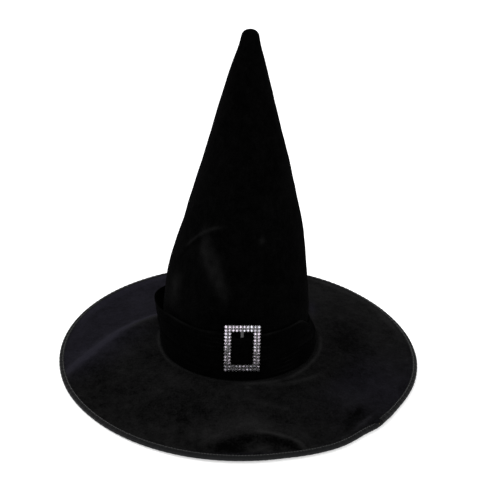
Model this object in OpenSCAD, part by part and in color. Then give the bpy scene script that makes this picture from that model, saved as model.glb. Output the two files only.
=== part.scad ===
// Witch hat: a velvet cone on a wide wired brim, with a pleated band and a rhinestone slide buckle.
// Millimetres, +Z up. The origin is on the axis of the crown, in the plane that the brim's edge rests on.
// The front, where the buckle sits, faces -Y.

/* [Head opening] */
// Inside radius of the sweatband, a 57.5 cm head
head_r = 91.5; // [85:0.5:98]
// Width of the grosgrain sweatband ribbon
sweat_h = 22; // [15:1:30]
// Thickness of the sweatband ribbon
sweat_t = 0.6; // [0.4:0.1:1.2]

/* [Crown] */
// Height of the crown above the brim, to the tip
crown_h = 390; // [250:5:480]
// Height of the straight wall behind the hatband
wall_h = 79; // [60:1:110]
// Height of the bell curve between the straight wall and the cone
bell_h = 82; // [50:1:120]
// How far the straight wall leans in, in mm for each mm of height
wall_lean = 0.12; // [0.04:0.01:0.2]
// Radius of the rounded tip
tip_r = 9.3; // [7:0.1:14]
// Thickness of the velvet
velvet_t = 1.2; // [0.8:0.1:2]
// Thickness of the stiff felt inside the crown
felt_t = 1.4; // [0.8:0.1:2.5]
// Thickness of the satin lining
lining_t = 0.5; // [0.3:0.1:1]

/* [Brim] */
// Radius of the brim over its binding
brim_r = 228.5; // [160:0.5:280]
// Drop of the brim from the crown to its edge
brim_drop = 12; // [2:0.5:30]
// Thickness of the buckram stiffener in the brim
buckram_t = 1.4; // [0.8:0.1:2.5]
// Thickness of the cloth under the brim
under_t = 0.8; // [0.4:0.1:1.5]
// Width of the edge binding on each face of the brim
binding_w = 6; // [4:0.5:12]
// Thickness of the edge binding
binding_t = 0.8; // [0.4:0.1:1.5]
// Diameter of the spring wire in the edge
wire_d = 1.6; // [1:0.1:2]
// Place of the binding's lap and of the wire's join, in degrees round the brim from +X
join_angle = -38; // [-60:1:-20]

/* [Hatband] */
// Height of the pleated hatband
band_h = 60; // [48:1:72]
// Thickness of the hatband over its pleats
band_t = 2.4; // [1.6:0.1:4]
// Number of pleats across the hatband
pleats = 4; // [2:1:6]

/* [Buckle] */
// Width of the buckle over its stones
buckle_w = 42.4; // [34:0.1:52]
// Height of the buckle over its stones
buckle_h = 59; // [48:0.5:70]
// Width of each side of the buckle, which holds two rows of stones
side_w = 8.5; // [8.2:0.1:10]
// Thickness of the buckle's back plate
plate_t = 1.2; // [0.8:0.1:2]
// Diameter of a rhinestone
stone_d = 3.3; // [2:0.1:3.4]
// Width of the bar that the hatband passes over
bar_w = 3.4; // [2:0.1:6]
// Thickness of the bar
bar_t = 1.4; // [0.8:0.1:2]
// Place of the buckle at rest, in degrees round the crown from the front
buckle_turn = 3; // [-5:0.5:5]
// Slide of the buckle along the hatband to each side, in degrees
buckle_travel = 10; // [2:1:20]

/* [Hidden] */
$fn = 96;

// Clearances
sweat_gap = 0.35;       // sweatband's upper edge to the lining
wire_gap = 0.1;         // spring wire to the buckram's edge, and its ferrule to the binding
ferrule_gap = 0.03;     // ferrule's bore to the wire
slide_gap = 0.6;        // bar to the crown and to the hatband
plate_gap = 0.5;        // buckle plate to the front of the hatband
foot_gap = 0.8;         // bar's lower foot to the slit in the hatband
band_lift = 0.8;        // hatband's lower edge to the brim
stone_gap = 0.05;       // rhinestone to its cup

// Levels and radii that the pieces share
brim_t = velvet_t + buckram_t + under_t;
edge_top = brim_t + binding_t;
seat_top = edge_top + brim_drop;
seat_under = seat_top - brim_t;
brim_in_r = head_r + sweat_t;
skins_t = velvet_t + felt_t + lining_t;
base_r = brim_in_r + sweat_gap + wall_lean * (sweat_h - brim_t) + skins_t;

// Crown outline: a straight wall, a bell curve and a straight cone that ends in a round tip
bell_steps = 10;
tip_steps = 8;
shoulder_z = seat_top + wall_h;
cone_z = shoulder_z + bell_h;
tip_z = seat_top + crown_h - tip_r;
cone_foot_r = base_r - wall_lean * (wall_h + bell_h / 2);
cone_rise = crown_h - tip_r - wall_h - bell_h / 2;
// Lean of the cone that meets the bell below it and the round tip above it without a corner
cone_lean = (cone_foot_r * cone_rise - tip_r * sqrt(pow(cone_foot_r, 2) + pow(cone_rise, 2) - pow(tip_r, 2)))
    / (pow(cone_rise, 2) - pow(tip_r, 2));
cone_angle = atan(cone_lean);

function wall_r(z) = base_r - wall_lean * (z - seat_top);
function bell_r(z) = wall_r(z) - (cone_lean - wall_lean) / (2 * bell_h) * pow(z - shoulder_z, 2);
function cone_r(z) = bell_r(cone_z) - cone_lean * (z - cone_z);
function crown_r(z) = z < shoulder_z ? wall_r(z) : z < cone_z ? bell_r(z) : cone_r(z);
function tip_line(inset) = let (r = tip_r - inset * cos(cone_angle))
    [for (i = [0:tip_steps]) let (a = cone_angle + (90 - cone_angle) * i / tip_steps)
        [r * cos(a), tip_z + r * sin(a)]];

// Outline of one face of the crown's cloth, from the brim to the tip
function skin_line(inset) = concat(
    [[wall_r(seat_top) - inset, seat_top]],
    [for (i = [0:bell_steps]) let (z = shoulder_z + bell_h * i / bell_steps) [crown_r(z) - inset, z]],
    tip_line(inset));

// Brim outline: level under the crown, an S curve outwards, and level again under the binding
brim_steps = 16;
level_r = base_r + 6;
fall_r = brim_r - binding_w - 2;
ferrule_l = 16;
ferrule_wall = 0.4;
ferrule_r = wire_d / 2 + ferrule_gap + ferrule_wall;
wire_r = brim_r - binding_t - wire_gap - ferrule_r;
layer_r = wire_r - wire_d / 2 - wire_gap;

function brim_top_z(r) = let (t = min(1, max(0, (r - level_r) / (fall_r - level_r))))
    edge_top + brim_drop * (1 + cos(180 * t)) / 2;
brim_rs = concat([brim_in_r], [for (i = [0:brim_steps]) level_r + (fall_r - level_r) * i / brim_steps],
    [layer_r]);

// Lap and rounded edge of the binding
lap_l = 15;
lap_t = 0.5;
binding_round = 1.4;
round_steps = 6;

// Stitches
thread_t = 0.4;
thread_w = 0.8;
edge_stitches = 160;
seam_stitches = 72;
stitch_part = 0.62;     // share of the pitch that a stitch covers

// Hatband, in the gap outside the wall of the crown
lean_angle = atan(wall_lean);
lean_k = 1 / cos(lean_angle);
band_gap = (2 * slide_gap + bar_t) * lean_k;
band_low = seat_top + band_lift;
band_top = band_low + band_h;
pleat_steps = 6;
pleat_dip = 0.35 * band_t;
band_lap_l = 24;
band_lap_t = 1.2;
tack_count = 7;
tack_spread = 38;       // degrees between tacks

// Buckle, flat against the front of the hatband
cup_wall = 0.35;
cup_r = stone_d / 2 + stone_gap + cup_wall;
cup_pitch = 2 * cup_r + 0.1;
cup_h = 1.8;
cup_floor = 0.5;
girdle_h = 0.6;
stone_h = 1.6;
table_r = 0.55 * stone_d / 2;
plate_inset = 0.6;
plate_round = 1.6;
foot_h = 4;
top_reveal = 4.2;       // height of bar that shows above the hatband
foot_y = (buckle_h - side_w) / 2;
back_r = band_gap + (band_t + plate_gap) * lean_k;
buckle_z = band_top + top_reveal - (buckle_h / 2 - side_w) * cos(lean_angle);
bar_back = band_t + plate_gap + slide_gap + bar_t;
slit_angle = buckle_travel + asin((bar_w / 2 + foot_gap) / (base_r - bar_back));
slit_low = buckle_z - (foot_y + foot_h / 2) * cos(lean_angle) - bar_back * sin(lean_angle) - foot_gap;
slit_top = buckle_z - (foot_y - foot_h / 2) * cos(lean_angle) + foot_gap;

// A ring, or an arc of one, with the outline given in radius and height
module ring(outline) {
    rotate_extrude() polygon(outline);
}
module arc(outline, middle, spread) {
    rotate([0, 0, middle - spread / 2]) rotate_extrude(angle = spread) polygon(outline);
}

// One cone of cloth: its faces lie `outside` and `inside` below the face of the velvet
module crown_skin(outside, inside) {
    inner_line = skin_line(inside);
    ring(concat(skin_line(outside), [for (i = [len(inner_line) - 1:-1:0]) inner_line[i]]));
}

module crown_shell() {
    color([0.06, 0.055, 0.065]) crown_skin(0, velvet_t);
}

module crown_felt() {
    color([0.2, 0.2, 0.2]) crown_skin(velvet_t, velvet_t + felt_t);
}

module crown_lining() {
    color([0.1, 0.1, 0.12]) crown_skin(velvet_t + felt_t, skins_t);
}

// Slip stitches up the back of the cone, one on each flat of the bell and on along the straight
module back_seam_stitches() {
    pitch = bell_h / bell_steps;
    last = floor((tip_z - 2 * tip_r - shoulder_z) / pitch);
    color([0.16, 0.15, 0.17])
        for (i = [0:last])
            let (low = shoulder_z + pitch * i + 0.1 * pitch, high = low + stitch_part * pitch)
                let (low_r = flat_r(low, i), high_r = flat_r(high, i))
                    arc([[low_r, low], [low_r + thread_t, low], [high_r + thread_t, high], [high_r, high]],
                        90, thread_w / high_r * 180 / PI);
}

// Radius at a height on flat number i of the bell, or on the straight cone above it
function flat_r(z, i) = let (low = shoulder_z + bell_h * i / bell_steps, high = low + bell_h / bell_steps)
    crown_r(low) + (crown_r(high) - crown_r(low)) * (z - low) / (high - low);

// One layer of the brim between two depths below its top face, clear of the wire's ferrule
module brim_layer(upper, lower) {
    difference() {
        ring(concat([for (r = brim_rs) [r, brim_top_z(r) - upper]],
            [for (i = [len(brim_rs) - 1:-1:0]) [brim_rs[i], brim_top_z(brim_rs[i]) - lower]]));
        ferrule_pocket();
    }
}

module ferrule_pocket() {
    pocket_r = wire_r - ferrule_r - wire_gap;
    arc([[pocket_r, -1], [brim_r, -1], [brim_r, edge_top + 1], [pocket_r, edge_top + 1]],
        join_angle, (ferrule_l + 4) / wire_r * 180 / PI);
}

module brim_top() {
    color([0.09, 0.085, 0.1]) brim_layer(0, velvet_t);
}

module brim_buckram() {
    color([0.75, 0.72, 0.65]) brim_layer(velvet_t, velvet_t + buckram_t);
}

module brim_underside() {
    color([0.12, 0.12, 0.14]) brim_layer(velvet_t + buckram_t, brim_t);
}

// Middle height of the layers at the edge
wire_z = edge_top - brim_t / 2;

module brim_wire() {
    gap_angle = 1 / wire_r * 180 / PI;
    color([0.6, 0.61, 0.63])
        rotate([0, 0, join_angle + gap_angle / 2]) rotate_extrude(angle = 360 - gap_angle)
            translate([wire_r, wire_z]) circle(d = wire_d);
}

module wire_ferrule() {
    spread = ferrule_l / wire_r * 180 / PI;
    color([0.75, 0.6, 0.3])
        rotate([0, 0, join_angle - spread / 2]) rotate_extrude(angle = spread)
            translate([wire_r, wire_z]) difference() {
                circle(r = ferrule_r);
                circle(r = wire_d / 2 + ferrule_gap);
            }
}

// Outline of the binding: two leaves joined by a rounded wall at the edge
function binding_corner(low_z, start) = [for (i = [0:round_steps]) let (a = start + 90 * i / round_steps)
    [brim_r - binding_round + binding_round * cos(a), low_z + binding_round * sin(a)]];
binding_top = edge_top + binding_t;
binding_outline = concat(
    [[brim_r - binding_w, 0]],
    binding_corner(binding_round, -90),
    binding_corner(binding_top - binding_round, 0),
    [[brim_r - binding_w, binding_top], [brim_r - binding_w, edge_top],
     [brim_r - binding_t, edge_top], [brim_r - binding_t, binding_t], [brim_r - binding_w, binding_t]]);

module edge_binding() {
    lap_spread = lap_l / brim_r * 180 / PI;
    lap_in_r = brim_r - binding_w + lap_t;
    lap_out_r = brim_r - binding_round - lap_t;
    lap_z = binding_top - binding_t / 2;
    color([0.17, 0.18, 0.17]) {
        ring(binding_outline);
        arc([[lap_in_r, lap_z], [lap_out_r, lap_z], [lap_out_r, lap_z + 2 * lap_t], [lap_in_r, lap_z + 2 * lap_t]],
            join_angle, lap_spread);
    }
}

// Top stitching of the binding, which stops at the lap
module binding_stitches() {
    stitch_r = brim_r - binding_w + 1.2;
    pitch = 360 / edge_stitches;
    color([0.3, 0.31, 0.29])
        for (i = [2:edge_stitches - 3])
            arc([[stitch_r, binding_top], [stitch_r + thread_w, binding_top],
                 [stitch_r + thread_w, binding_top + thread_t], [stitch_r, binding_top + thread_t]],
                join_angle + pitch * (i + 0.5), pitch * stitch_part);
}

// Hand stitches that turn the corner from the wall of the crown to the top of the brim
module crown_base_stitches() {
    rise = 4;
    reach = 2;
    pitch = 360 / seam_stitches;
    color([0.2, 0.19, 0.21])
        for (i = [0:seam_stitches - 1])
            arc([[wall_r(seat_top), seat_top], [wall_r(seat_top) + reach, seat_top],
                 [wall_r(seat_top) + reach, seat_top + thread_t], [wall_r(seat_top + thread_t) + thread_t,
                 seat_top + thread_t], [wall_r(seat_top + rise) + thread_t, seat_top + rise],
                 [wall_r(seat_top + rise), seat_top + rise]],
                pitch * i, thread_w / base_r * 180 / PI);
}

module sweatband() {
    color([0.1, 0.1, 0.1])
        ring([[head_r, seat_under], [brim_in_r, seat_under], [brim_in_r, seat_under + sweat_h],
              [head_r, seat_under + sweat_h]]);
}

// Stitches across the join of the sweatband and the cloth under the brim
module sweatband_stitches() {
    pitch = 360 / seam_stitches;
    color([0.3, 0.3, 0.3])
        for (i = [0:seam_stitches - 1])
            arc([[head_r + 0.1, seat_under - thread_t], [brim_in_r + 2.4, seat_under - thread_t],
                 [brim_in_r + 2.4, seat_under], [head_r + 0.1, seat_under]],
                pitch * i, thread_w / brim_in_r * 180 / PI);
}

// Outline of the hatband: a straight back and soft pleats across its front
pleat_count = pleats * pleat_steps;
function pleat_z(i) = band_low + band_h * i / pleat_count;
function pleat_face(i) = band_t - pleat_dip * (1 - abs(sin(180 * i / pleat_steps)));
function band_outline(lift) = concat(
    [[wall_r(band_top) + band_gap, band_top], [wall_r(band_low) + band_gap, band_low]],
    [for (i = [0:pleat_count])
        [wall_r(pleat_z(i)) + band_gap + pleat_face(i) * lean_k + lift, pleat_z(i)]]);

module hatband() {
    color([0.05, 0.045, 0.055]) {
        difference() {
            ring(band_outline(0));
            arc([[base_r - band_t, slit_low], [base_r + 3 * band_t + band_gap, slit_low],
                 [base_r + 3 * band_t + band_gap, slit_top], [base_r - band_t, slit_top]],
                -90 + buckle_turn, 2 * slit_angle);
        }
        arc(band_outline(band_lap_t), 90, band_lap_l / base_r * 180 / PI);
    }
}

// Tacks across the gap between the crown and the hatband, near its two edges
module hatband_tacks() {
    color([0.2, 0.19, 0.21])
        for (i = [0:tack_count - 1], low = [band_low + 5, band_top - 6])
            let (high = low + thread_w)
                arc([[wall_r(low), low], [wall_r(low) + band_gap, low], [wall_r(high) + band_gap, high],
                     [wall_r(high), high]],
                    90 + (i - (tack_count - 1) / 2) * tack_spread, thread_w / base_r * 180 / PI);
}

// The buckle's own frame: X across, Y up the wall, Z outwards from the back of the plate
module on_front() {
    rotate([0, 0, buckle_turn])
        translate([0, -(wall_r(buckle_z) + back_r), buckle_z])
            rotate([90 - lean_angle, 0, 0])
                children();
}

module round_corners(w, h, r) {
    square([w - 2 * r, h], center = true);
    square([w, h - 2 * r], center = true);
    for (x = [-1, 1], y = [-1, 1])
        translate([x * (w / 2 - r), y * (h / 2 - r)]) circle(r = r);
}

module buckle_plate() {
    color([0.78, 0.78, 0.8])
        on_front()
            linear_extrude(plate_t) difference() {
                round_corners(buckle_w - 2 * plate_inset, buckle_h - 2 * plate_inset, plate_round);
                round_corners(buckle_w - 2 * side_w + 2 * plate_inset,
                    buckle_h - 2 * side_w + 2 * plate_inset, plate_round);
            }
}

// The bar behind the hatband, with a foot at each end that reaches forward to the plate
module buckle_bar() {
    color([0.72, 0.72, 0.74])
        on_front() {
            translate([-bar_w / 2, -foot_y - foot_h / 2, -bar_back])
                cube([bar_w, 2 * foot_y + foot_h, bar_t]);
            for (y = [-foot_y, foot_y])
                translate([-bar_w / 2, y - foot_h / 2, -bar_back]) cube([bar_w, foot_h, bar_back]);
        }
}

// Places of the stones: two rows of each side, each row closed round the frame
function row_count(length) = floor(length / cup_pitch);
module on_stones() {
    for (row = [0, 1]) {
        inset = side_w * (1 + 2 * row) / 4;
        w = buckle_w - 2 * inset;
        h = buckle_h - 2 * inset;
        across = row_count(w);
        up = row_count(h);
        for (i = [0:across], y = [-h / 2, h / 2])
            translate([-w / 2 + w * i / across, y, plate_t]) children();
        for (i = [1:up - 1], x = [-w / 2, w / 2])
            translate([x, -h / 2 + h * i / up, plate_t]) children();
    }
}

module stone_cups() {
    color([0.8, 0.8, 0.82])
        on_front() on_stones()
            rotate_extrude() polygon([[0, 0], [cup_r, 0], [cup_r, cup_h], [cup_r - cup_wall, cup_h],
                [cup_r - cup_wall, cup_floor], [0, cup_floor]]);
}

module rhinestones() {
    color([0.9, 0.88, 0.95])
        on_front() on_stones()
            translate([0, 0, cup_floor])
                rotate_extrude() polygon([[0, 0], [stone_d / 2, 0], [stone_d / 2, girdle_h],
                    [table_r, stone_h], [0, stone_h]]);
}

crown_shell();
crown_felt();
crown_lining();
back_seam_stitches();
brim_top();
brim_buckram();
brim_underside();
brim_wire();
wire_ferrule();
edge_binding();
binding_stitches();
crown_base_stitches();
sweatband();
sweatband_stitches();
hatband();
hatband_tacks();
buckle_plate();
buckle_bar();
stone_cups();
rhinestones();
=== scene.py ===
"""Looks of the velvet witch hat, built round its packed frame. Laid out as an add-on, run as a script."""

import math

import bmesh
import bpy
import numpy as np
from mathutils import Matrix, Vector


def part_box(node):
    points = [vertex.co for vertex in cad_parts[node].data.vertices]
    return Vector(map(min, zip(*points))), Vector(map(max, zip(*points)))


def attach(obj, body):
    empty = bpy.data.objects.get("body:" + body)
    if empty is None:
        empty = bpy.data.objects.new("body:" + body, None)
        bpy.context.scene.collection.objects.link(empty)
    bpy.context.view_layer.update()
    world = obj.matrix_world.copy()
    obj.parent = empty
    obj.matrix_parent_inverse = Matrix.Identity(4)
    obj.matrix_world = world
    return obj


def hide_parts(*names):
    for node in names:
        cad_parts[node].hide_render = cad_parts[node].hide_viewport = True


bl_info = {
    "name": "Witch hat",
    "version": (1, 0, 0),
    "blender": (4, 5, 0),
    "location": "3D View > Sidebar > Witch hat",
    "description": "Builds a velvet witch hat with a pleated hatband and a rhinestone buckle",
    "category": "Object",
}

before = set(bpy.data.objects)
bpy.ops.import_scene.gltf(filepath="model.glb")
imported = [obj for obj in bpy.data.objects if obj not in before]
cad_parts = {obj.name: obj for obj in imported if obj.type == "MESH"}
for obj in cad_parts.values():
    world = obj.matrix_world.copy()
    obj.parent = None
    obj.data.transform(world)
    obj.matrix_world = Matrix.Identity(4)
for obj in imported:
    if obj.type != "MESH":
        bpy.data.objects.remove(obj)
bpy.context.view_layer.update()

# Places and sizes that the frame gives, in metres
CROWN_LOW, CROWN_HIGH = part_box("crown_shell")
LAYER_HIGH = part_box("brim_top")[1]
BINDING_LOW, BINDING_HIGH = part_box("edge_binding")
SWEAT_LOW, SWEAT_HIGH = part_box("sweatband")
BAND_LOW, BAND_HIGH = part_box("hatband")
WIRE_LOW, WIRE_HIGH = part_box("brim_wire")
PLATE_LOW, PLATE_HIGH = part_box("buckle_plate")
SEAT = CROWN_LOW.z
BASE_R = (CROWN_HIGH.x - CROWN_LOW.x) / 2
BRIM_R = (BINDING_HIGH.y - BINDING_LOW.y) / 2
SWEAT_R = (SWEAT_HIGH.x - SWEAT_LOW.x) / 2
BRIM_T = SEAT - SWEAT_LOW.z
HEAD_R = 0.0915  # the head opening, inside the sweatband
FULL = 2 * math.pi


# ---------------------------------------------------------------------------------------------
# Properties
# ---------------------------------------------------------------------------------------------

def length(name, description, default):
    """A size in metres."""
    return bpy.props.FloatProperty(name=name, description=description, default=default, min=0,
                                   unit="LENGTH", precision=5)


def turn(name, description, degrees):
    """An angle."""
    return bpy.props.FloatProperty(name=name, description=description, default=math.radians(degrees),
                                   subtype="ANGLE")


def share(name, description, default):
    """A factor from 0 to 1."""
    return bpy.props.FloatProperty(name=name, description=description, default=default, min=0, max=1,
                                   subtype="FACTOR")


def number(name, description, default):
    """A whole number of pieces or steps."""
    return bpy.props.IntProperty(name=name, description=description, default=default, min=1)


def colour(name, description, default):
    """A linear colour."""
    return bpy.props.FloatVectorProperty(name=name, description=description, default=default, size=3, min=0,
                                         max=1, subtype="COLOR")


class CrownShape(bpy.types.PropertyGroup):
    """Sizes of the cone."""

    wall_lean: share("Wall lean", "How far the straight wall leans in for each metre of height", 0.12)
    wall_h: length("Wall height", "Height of the straight wall behind the hatband", 0.079)
    bell_h: length("Bell height", "Height of the bell curve above the wall", 0.082)
    tip_r: length("Tip radius", "Radius of the rounded tip", 0.0093)
    velvet_t: length("Velvet", "Thickness of the velvet", 0.0012)
    felt_t: length("Felt", "Thickness of the stiff felt", 0.0014)
    lining_t: length("Lining", "Thickness of the satin lining", 0.0005)
    dent: length("Dent", "Depth of the soft dent at the front left", 0.0055)
    crease: length("Crease", "Height of the curved crease over the dent", 0.0012)
    lean_left: length("Lean left", "Shift of the crown to the wearer's right above the hatband", 0.0044)
    lean_back: length("Lean back", "Return of the crown over its own base, higher up", 0.0057)
    lean_tip: length("Lean of the tip", "Further shift of the tip towards the wearer's left", 0.0013)
    fullness: length("Fullness", "How far the velvet stands proud of the stiff cone", 0.0020)
    seam_d: length("Seam depth", "Depth of the back seam", 0.0008)


class BrimShape(bpy.types.PropertyGroup):
    """Sizes of the brim and its edge."""

    velvet_t: length("Velvet", "Thickness of the velvet on top", 0.0012)
    buckram_t: length("Buckram", "Thickness of the stiffener", 0.0014)
    binding_w: length("Binding width", "Width of the binding on each face", 0.006)
    binding_t: length("Binding thickness", "Thickness of the binding", 0.0008)
    fold_h: length("Front fold", "Height of the arched fold near the front edge", 0.0055)
    line_h: length("Side line", "Height of the straight fold across the left side", 0.0030)
    roll_h: length("Rolls", "Height of the rolls of velvet round the hatband", 0.0013)
    lift: length("Edge lift", "Most that the edge stands off the surface it rests on", 0.0018)
    join: turn("Join", "Place of the binding's lap, round the brim from the front", 46.6)
    lap_l: length("Lap", "Length of the binding's lap", 0.015)
    lap_rise: length("Lap rise", "How far the upper end of the binding stands over the lower", 0.0005)
    ferrule_l: length("Ferrule", "Length of the crimped tube on the wire", 0.016)
    ferrule_t: length("Ferrule wall", "Wall of the crimped tube on the wire", 0.0004)


class BandShape(bpy.types.PropertyGroup):
    """Sizes of the pleated hatband."""

    gap: length("Gap", "Gap between the crown and the hatband", 0.0026)
    cloth_t: length("Thickness", "Thickness of the hatband in the valleys of its pleats", 0.0011)
    pleats: number("Pleats", "Number of pleats", 5)
    pleat_d: length("Pleat depth", "Depth of a pleat", 0.00125)
    stand_off: length("Stand-off", "How far the top stands off the crown at the wearer's right", 0.0136)
    dip: length("Dip", "Dip of the top edge over the buckle's bar", 0.0055)
    lap_l: length("Lap", "Length of the hatband's lap at the back", 0.024)


class BuckleShape(bpy.types.PropertyGroup):
    """Sizes of the buckle's stones and their cups."""

    turn: turn("Turn", "Place of the buckle round the crown from the front", 3)
    width: length("Width", "Width over the stones", 0.0424)
    height: length("Height", "Height over the stones", 0.059)
    side_w: length("Side", "Width of each side, which holds two rows", 0.0085)
    plate_t: length("Plate", "Thickness of the back plate", 0.0012)
    cup_r: length("Cup radius", "Outside radius of a cup", 0.00205)
    cup_h: length("Cup height", "Height of a cup", 0.0018)
    stone_r: length("Stone radius", "Radius of a stone", 0.0017)
    stone_h: length("Stone height", "Height of a stone over the floor of its cup", 0.0019)
    pitch: length("Pitch", "Least distance from stone to stone", 0.0042)


class SewingShape(bpy.types.PropertyGroup):
    """Sizes of the stitches."""

    thread_r: length("Thread radius", "Radius of the sewing thread", 0.00026)
    stitch_l: length("Stitch", "Length of a machine stitch", 0.0026)
    stitch_gap: length("Stitch gap", "Gap between machine stitches", 0.0007)
    hand_l: length("Slip stitch", "Length of a slip stitch in the back seam", 0.0045)
    hand_gap: length("Slip stitch gap", "Gap between slip stitches", 0.0035)
    seam_count: number("Seam stitches", "Number of stitches round the base of the crown", 72)


class Finishes(bpy.types.PropertyGroup):
    """Colours of the cloths and the metal."""

    deep: colour("Velvet", "Colour of the pile seen face on", (0.0006, 0.0006, 0.0006))
    # Paler pile colour, which the painted highlights on the velvet also reach.
    nap: colour("Nap", "Colour of the pile where it is brushed up", (0.0135, 0.0134, 0.0134))
    # Colour of the painted violet sheen on the brim's pile.
    cool: colour("Cool nap", "Colour of the brushed pile that looks violet", (0.0138, 0.0130, 0.0185))
    sheen: colour("Pile sheen", "Colour of the sheen on the tips of the pile", (0.020, 0.020, 0.021))
    binding: colour("Binding", "Colour of the edge binding", (0.0034, 0.0035, 0.0037))
    thread: colour("Thread", "Colour of the sewing thread", (0.024, 0.025, 0.025))
    satin: colour("Satin", "Colour of the lining", (0.012, 0.012, 0.015))
    metal: colour("Metal", "Colour of the buckle's plating", (0.80, 0.79, 0.80))
    crystal: colour("Crystal", "Colour of the stones", (0.88, 0.86, 0.92))
    floor: colour("Floor", "Colour of the floor", (0.90, 0.90, 0.90))


# ---------------------------------------------------------------------------------------------
# Node trees
# ---------------------------------------------------------------------------------------------

class Field:
    """One socket of a node tree. Arithmetic on it adds Math nodes to the tree."""

    def __init__(self, board, socket):
        self.board = board
        self.socket = socket

    def __add__(self, other):
        return self.board.maths("ADD", self, other)

    def __radd__(self, other):
        return self.board.maths("ADD", other, self)

    def __sub__(self, other):
        return self.board.maths("SUBTRACT", self, other)

    def __rsub__(self, other):
        return self.board.maths("SUBTRACT", other, self)

    def __mul__(self, other):
        return self.board.maths("MULTIPLY", self, other)

    def __rmul__(self, other):
        return self.board.maths("MULTIPLY", other, self)

    def __truediv__(self, other):
        return self.board.maths("DIVIDE", self, other)

    def clamp(self):
        """The value, kept from 0 to 1."""
        return self.board.get("ShaderNodeClamp", {}, {"Value": self}, "Result")


class Board:
    """A node tree that is being built."""

    def __init__(self, tree):
        self.tree = tree
        self.tree.nodes.clear()

    def node(self, kind, settings=None, inputs=None):
        """Adds a node, sets its settings first, and then gives its sockets values or links."""
        made = self.tree.nodes.new(kind)
        settings = dict(settings or {})
        stops = settings.pop("stops", None)
        for name, value in settings.items():
            setattr(made, name, value)
        if stops:
            ramp = made.color_ramp
            while len(ramp.elements) < len(stops):
                ramp.elements.new(1)
            for element, (place, tone) in zip(ramp.elements, stops):
                element.position = place
                element.color = (tone, tone, tone, 1)
        for name, value in (inputs or {}).items():
            for one in value if isinstance(value, list) else [value]:
                if isinstance(one, Field):
                    self.tree.links.new(one.socket, made.inputs[name])
                else:
                    made.inputs[name].default_value = one
        return made

    def get(self, kind, settings, inputs, output=0):
        """Adds a node and gives one of its outputs."""
        return Field(self, self.node(kind, settings, inputs).outputs[output])

    def maths(self, operation, *values):
        """One Math node."""
        return self.get("ShaderNodeMath", {"operation": operation}, dict(enumerate(values)))

    def noise(self, place, scale, detail=3.0, roughness=0.55):
        """Soft unevenness around a half."""
        return self.get("ShaderNodeTexNoise", {}, {
            "Vector": place, "Scale": scale, "Detail": detail, "Roughness": roughness}, "Fac")

    def ramp(self, value, low, high):
        """A value that rises from 0 at low to 1 at high."""
        return self.get("ShaderNodeValToRGB", {"stops": [(low, 0), (high, 1)]}, {"Fac": value}, "Color")

    def blend(self, factor, a, b):
        """A colour that goes from a to b."""
        mix = self.node("ShaderNodeMix", {"data_type": "RGBA"}, {0: factor, 6: a, 7: b})
        return Field(self, mix.outputs[2])

    def stretch(self, place, scale):
        """Object coordinates drawn out along the axes."""
        return self.get("ShaderNodeMapping", {}, {"Vector": place, "Scale": scale})

    def bump(self, height, distance, strength):
        """A normal that follows a height."""
        return self.get("ShaderNodeBump", {}, {
            "Height": height, "Distance": distance, "Strength": strength})

    def finish_material(self, **inputs):
        """Ends a material's tree in one Principled shader."""
        named = {name.replace("_", " "): value for name, value in inputs.items()}
        named = {("Specular IOR Level" if k == "Specular" else k): v for k, v in named.items()}
        shader = self.get("ShaderNodeBsdfPrincipled", {}, named, "BSDF")
        self.node("ShaderNodeOutputMaterial", {}, {"Surface": shader})


def new_material(name):
    """A material and the board of its empty tree."""
    material = bpy.data.materials.new(name)
    material.use_nodes = True
    return material, Board(material.node_tree)


def rgba(value):
    """A colour with full opacity."""
    return (*value, 1.0)


def velvet(name, look, level, sheen, patch, patch_size):
    """Cut pile: black face on, with a soft sheen at grazing angles. Its colour is painted lighter by the
    piece's painted light attribute, which holds painted highlights and, below 0, painted shade. It takes on
    a painted violet sheen where the piece's cool attribute says.

    level is a painted brightness for the whole piece, which makes the upright crown a shaded copy and the
    brim a lit copy of one velvet, and patch how much the colour varies at random from place to place."""
    material, board = new_material(name)
    place = board.get("ShaderNodeTexCoord", {}, {}, "Object")
    # Painted light and shade: highlights and shade from the piece's painted light attribute, and the painted
    # violet sheen from its cool attribute.
    painted_light = board.get("ShaderNodeAttribute", {"attribute_name": "nap"}, {}, "Fac")
    coolness = board.get("ShaderNodeAttribute", {"attribute_name": "cool"}, {}, "Fac")
    clouds = board.noise(place, 1 / patch_size, 3.0, 0.6)
    blotches = board.noise(place, 3.6 / patch_size, 4.0, 0.7)
    streaks = board.noise(board.stretch(place, (1.0, 1.0, 0.4)), 9 / patch_size, 3.0, 0.65)
    tufts = board.noise(place, 520, 3.0, 0.75)
    pile = board.noise(place, 1500, 2.0, 0.6)
    uneven = (clouds - 0.5) * 1.1 + (blotches - 0.5) * 1.3 + (streaks - 0.5) * 0.8 + (tufts - 0.5) * 1.5
    # How light the pile looks: painted light, plus the painted brightness level of the whole piece, plus
    # random variation.
    lit = (painted_light + level + uneven * patch).clamp()
    # The pale end of the mix: the colour of paler pile and of painted highlights, turned violet where the
    # painted violet sheen lies.
    upright = board.blend(coolness, rgba(look.nap), rgba(look.cool))
    tone = board.blend(lit, rgba(look.deep), upright)
    shade = 0.55 + pile * 0.9
    cloth = board.get("ShaderNodeVectorMath", {"operation": "SCALE"}, {0: tone, "Scale": shade})
    height = pile * 0.5 + tufts * 0.9 + streaks * 0.9
    board.finish_material(Base_Color=cloth, Roughness=1.0, Specular=0.0, Sheen_Weight=1.0,
                          Sheen_Roughness=0.42, Sheen_Tint=rgba(tuple(sheen * c for c in look.sheen)),
                          Normal=board.bump(height, 0.0009, 0.55))
    return material


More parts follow.
